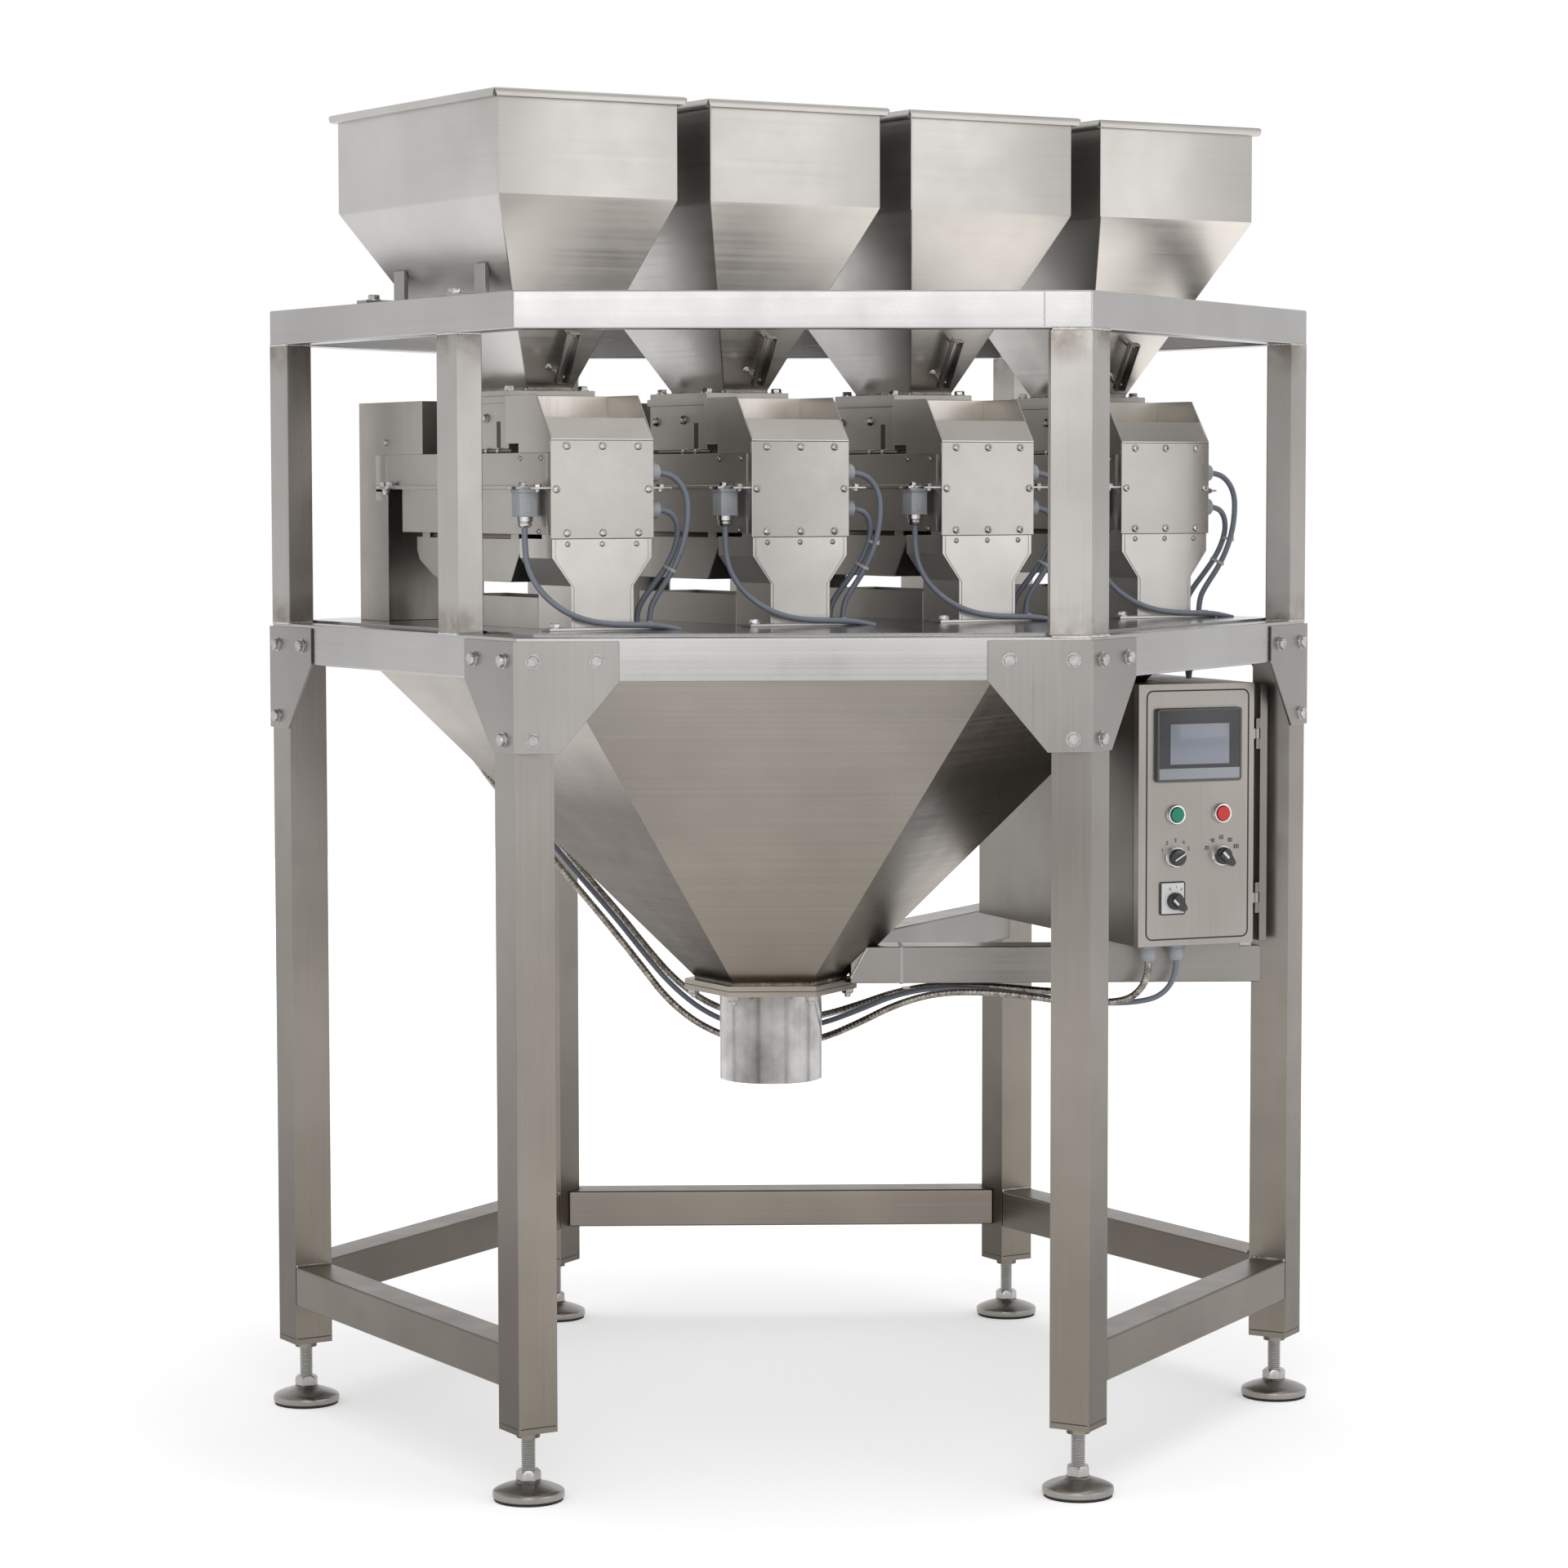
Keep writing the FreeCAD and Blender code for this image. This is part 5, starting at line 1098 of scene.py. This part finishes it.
def knob(body, x, down, base, lean, handle, mark):
    """Round knob at a base height off the door; lean turns it clockwise from straight up."""
    place = CAB @ Matrix.Translation((x, -base, CAB_TOP - down)) @ Matrix.Rotation(math.radians(lean), 4, "Y")
    mesh = bmesh.new()
    add_turned(mesh, place @ facing((0, 0, 0), FRONT), [
        (0.0130, 0.0), (0.0130, 0.0058), (0.0124, 0.0072), (0.0110, 0.0080), (0.0060, 0.0084)], 44)
    outline, levels = handle
    add_loops(mesh, [[place @ Vector((px * size, -out, pz * (0.5 + size / 2))) for px, pz in outline]
                     for out, size in levels])
    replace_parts(finish_piece(mesh, body + "_knob", black_plastic, body, 40), body)
    on_door(body + "_knob_mark", mark_white, [(*mark, 0.0003)], body, place)


def switch_plate():
    face = on_door("switch_plate_face", white_plate, [
        ((0.0378, -0.0030, CAB_TOP - 0.3452), (0.0762, 0.0, CAB_TOP - 0.2988), 0.0008)])
    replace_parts(face, "switch_plate")
    # The black rim round the plate stands in for the shadow gap at its edge: painted shade
    door_frame("switch_plate_edge", black_plastic, 0.0368, 0.0772, CAB_TOP - 0.3462, CAB_TOP - 0.2978, 0.0025, [
        (-0.0010, 0.0), (0.0010, 0.0), (0.0010, 0.0026), (0.0, 0.0032), (-0.0010, 0.0031)])


# Each digit's strokes, and each stroke's two ends in half heights of a digit
DIGITS = {"0": "abcdef", "1": "bc", "2": "abged", "3": "abgcd", "4": "fgbc", "5": "afgcd", "6": "afgedc",
          "8": "abcdefg"}
STROKES = {"a": ((0, 2), (1, 2)), "b": ((1, 2), (1, 1)), "c": ((1, 1), (1, 0)), "d": ((0, 0), (1, 0)),
           "e": ((0, 1), (0, 0)), "f": ((0, 2), (0, 1)), "g": ((0, 1), (1, 1))}


def figure(mesh, text, x, z, size, out):
    """Plain number drawn in strokes on the door."""
    wide = size * 0.5
    start = x - (len(text) * wide + (len(text) - 1) * wide * 0.5) / 2
    thick = size * 0.09
    foot = z - size / 2
    for digit in text:
        for stroke in DIGITS[digit]:
            (ax, az), (bx, bz) = STROKES[stroke]
            low = (start + min(ax, bx) * wide - thick, -out - 0.0002, foot + min(az, bz) * size / 2 - thick)
            high = (start + max(ax, bx) * wide + thick, -out, foot + max(az, bz) * size / 2 + thick)
            add_block(mesh, low, high, 0.0, CAB)
        start += wide * 1.5


def dial_figures():
    """Figures round the two dials and beside the main switch."""
    mesh = bmesh.new()
    for x, texts in zip(CONTROLS, (("1", "2", "3", "4", "5"), ("20", "40", "60", "80", "100"))):
        for text, degrees in zip(texts, (-64, -33, 0, 33, 62)):
            reach = 0.0255 + (0.002 if len(text) > 1 else 0.0)
            angle = math.radians(degrees)
            figure(mesh, text, x + reach * math.sin(angle), CAB_TOP - DIALS_DOWN + reach * math.cos(angle),
                   0.0050, 0.0)
    for text, x, down in (("0", 0.052, 0.3075), ("1", 0.062, 0.3050), ("2", 0.0715, 0.3085)):
        figure(mesh, text, x, CAB_TOP - down, 0.0034, 0.0030)
    finish_piece(mesh, "dial_figures", black_line, "door")


cabinet_screw_and_stop()
door_frame("door_line", black_line, 0.0135, 0.1855, 0.010, CAB_TOP - 0.010, 0.010, [
    (-0.0011, 0.0), (0.0011, 0.0), (0.0011, 0.0003), (-0.0011, 0.0003)])
control_panel()
control_rings()
knob("left_dial", CONTROLS[0], DIALS_DOWN, 0.006, 60, BAR,
     ((-0.0012, -0.0101, -0.0085), (0.0012, -0.0096, 0.0110)))
knob("right_dial", CONTROLS[1], DIALS_DOWN, 0.006, 135, LEVER,
     ((-0.0019, -0.0150, -0.0092), (0.0019, -0.0144, 0.0040)))
knob("main_switch", 0.060, SWITCH_DOWN, 0.003, 135, LEVER,
     ((0.0020, -0.0150, -0.0080), (0.0055, -0.0144, 0.0030)))
switch_plate()
dial_figures()

# Floor, lights and world


def shown_factor(tree):
    """One where a ray shows the background itself: seen directly, in gloss or through glass."""
    rays = node_of(tree, "ShaderNodeLightPath")
    glossy = maths(tree, "MAXIMUM", rays.outputs["Is Camera Ray"], rays.outputs["Is Glossy Ray"])
    return maths(tree, "MAXIMUM", glossy, rays.outputs["Is Transmission Ray"])


def white_floor():
    """Matt floor whose glow grows outwards, so that it turns into the white background."""
    mesh = bmesh.new()
    bmesh.ops.create_grid(mesh, x_segments=1, y_segments=1, size=9.0)
    data = bpy.data.meshes.new("floor")
    mesh.to_mesh(data)
    mesh.free()
    floor = bpy.data.objects.new("floor", data)
    scene.collection.objects.link(floor)
    material, tree, shader = new_material("floor_white")
    tree.nodes.remove(shader)
    matte = node_of(tree, "ShaderNodeBsdfDiffuse", Color=(0.855, 0.86, 0.868, 1))
    lift = node_of(tree, "ShaderNodeEmission")
    spot = node_of(tree, "ShaderNodeTexCoord")
    reach = node_of(tree, "ShaderNodeVectorMath", operation="LENGTH")
    tree.links.new(spot.outputs["Object"], reach.inputs[0])
    tree.links.new(ramped(tree, reach.outputs["Value"], 0.9, 3.0, 0.35, 0.60), lift.inputs["Strength"])
    nothing = node_of(tree, "ShaderNodeEmission", Strength=0.0)
    seen = node_of(tree, "ShaderNodeMixShader")
    total = node_of(tree, "ShaderNodeAddShader")
    tree.links.new(shown_factor(tree), seen.inputs[0])
    tree.links.new(nothing.outputs[0], seen.inputs[1])
    tree.links.new(lift.outputs[0], seen.inputs[2])
    tree.links.new(matte.outputs[0], total.inputs[0])
    tree.links.new(seen.outputs[0], total.inputs[1])
    tree.links.new(total.outputs[0], tree.nodes["Material Output"].inputs["Surface"])
    data.materials.append(material)


def soft_box(name, place, aim, width, height, power):
    data = bpy.data.lights.new(name, "AREA")
    data.shape = "RECTANGLE"
    data.size = width
    data.size_y = height
    data.energy = power
    light = bpy.data.objects.new(name, data)
    light.matrix_world = facing(place, Vector(place) - Vector(aim))
    scene.collection.objects.link(light)


def grey_ramp(tree, value, stops):
    """Colour ramp of (position, colour) stops, the first and last of which are its ends."""
    node = node_of(tree, "ShaderNodeValToRGB")
    elements = node.color_ramp.elements
    for element, (position, colour) in zip((elements[0], elements[1]), (stops[0], stops[-1])):
        element.position = position
        element.color = (*colour, 1)
    for position, colour in stops[1:-1]:
        elements.new(position).color = (*colour, 1)
    tree.links.new(value, node.inputs["Fac"])
    return node.outputs["Color"]


def studio_world():
    """Soft grey room for the light, and a shown backdrop that is white up to above the horizon."""
    world = bpy.data.worlds.new("studio")
    scene.world = world
    world.use_nodes = True
    tree = world.node_tree
    back = tree.nodes["Background"]
    way = node_of(tree, "ShaderNodeTexCoord")
    split = node_of(tree, "ShaderNodeSeparateXYZ")
    tree.links.new(way.outputs["Generated"], split.inputs[0])
    rise = split.outputs["Z"]
    room = grey_ramp(tree, ramped(tree, rise, -1.0, 1.0), [
        (0.0, (0.55, 0.55, 0.55)), (0.5, (0.42, 0.415, 0.41)), (1.0, (0.95, 0.95, 0.95))])
    shown = grey_ramp(tree, rise, [(0.38, (1, 1, 1)), (0.80, (0.50, 0.50, 0.50))])
    tree.links.new(mixed(tree, shown_factor(tree), room, shown), back.inputs["Color"])
    back.inputs["Strength"].default_value = 1.0


white_floor()
soft_box("key_light", (-2.9, -4.6, 2.7), (0, 0, 1.2), 2.6, 2.6, 44)
soft_box("side_light", (2.3, -5.0, 2.3), (0, 0, 1.3), 3.2, 2.2, 22)
soft_box("top_light", (0.3, -0.6, 4.6), (0, 0, 1.0), 3.2, 3.2, 26)
studio_world()
scene.view_settings.view_transform = "Standard"
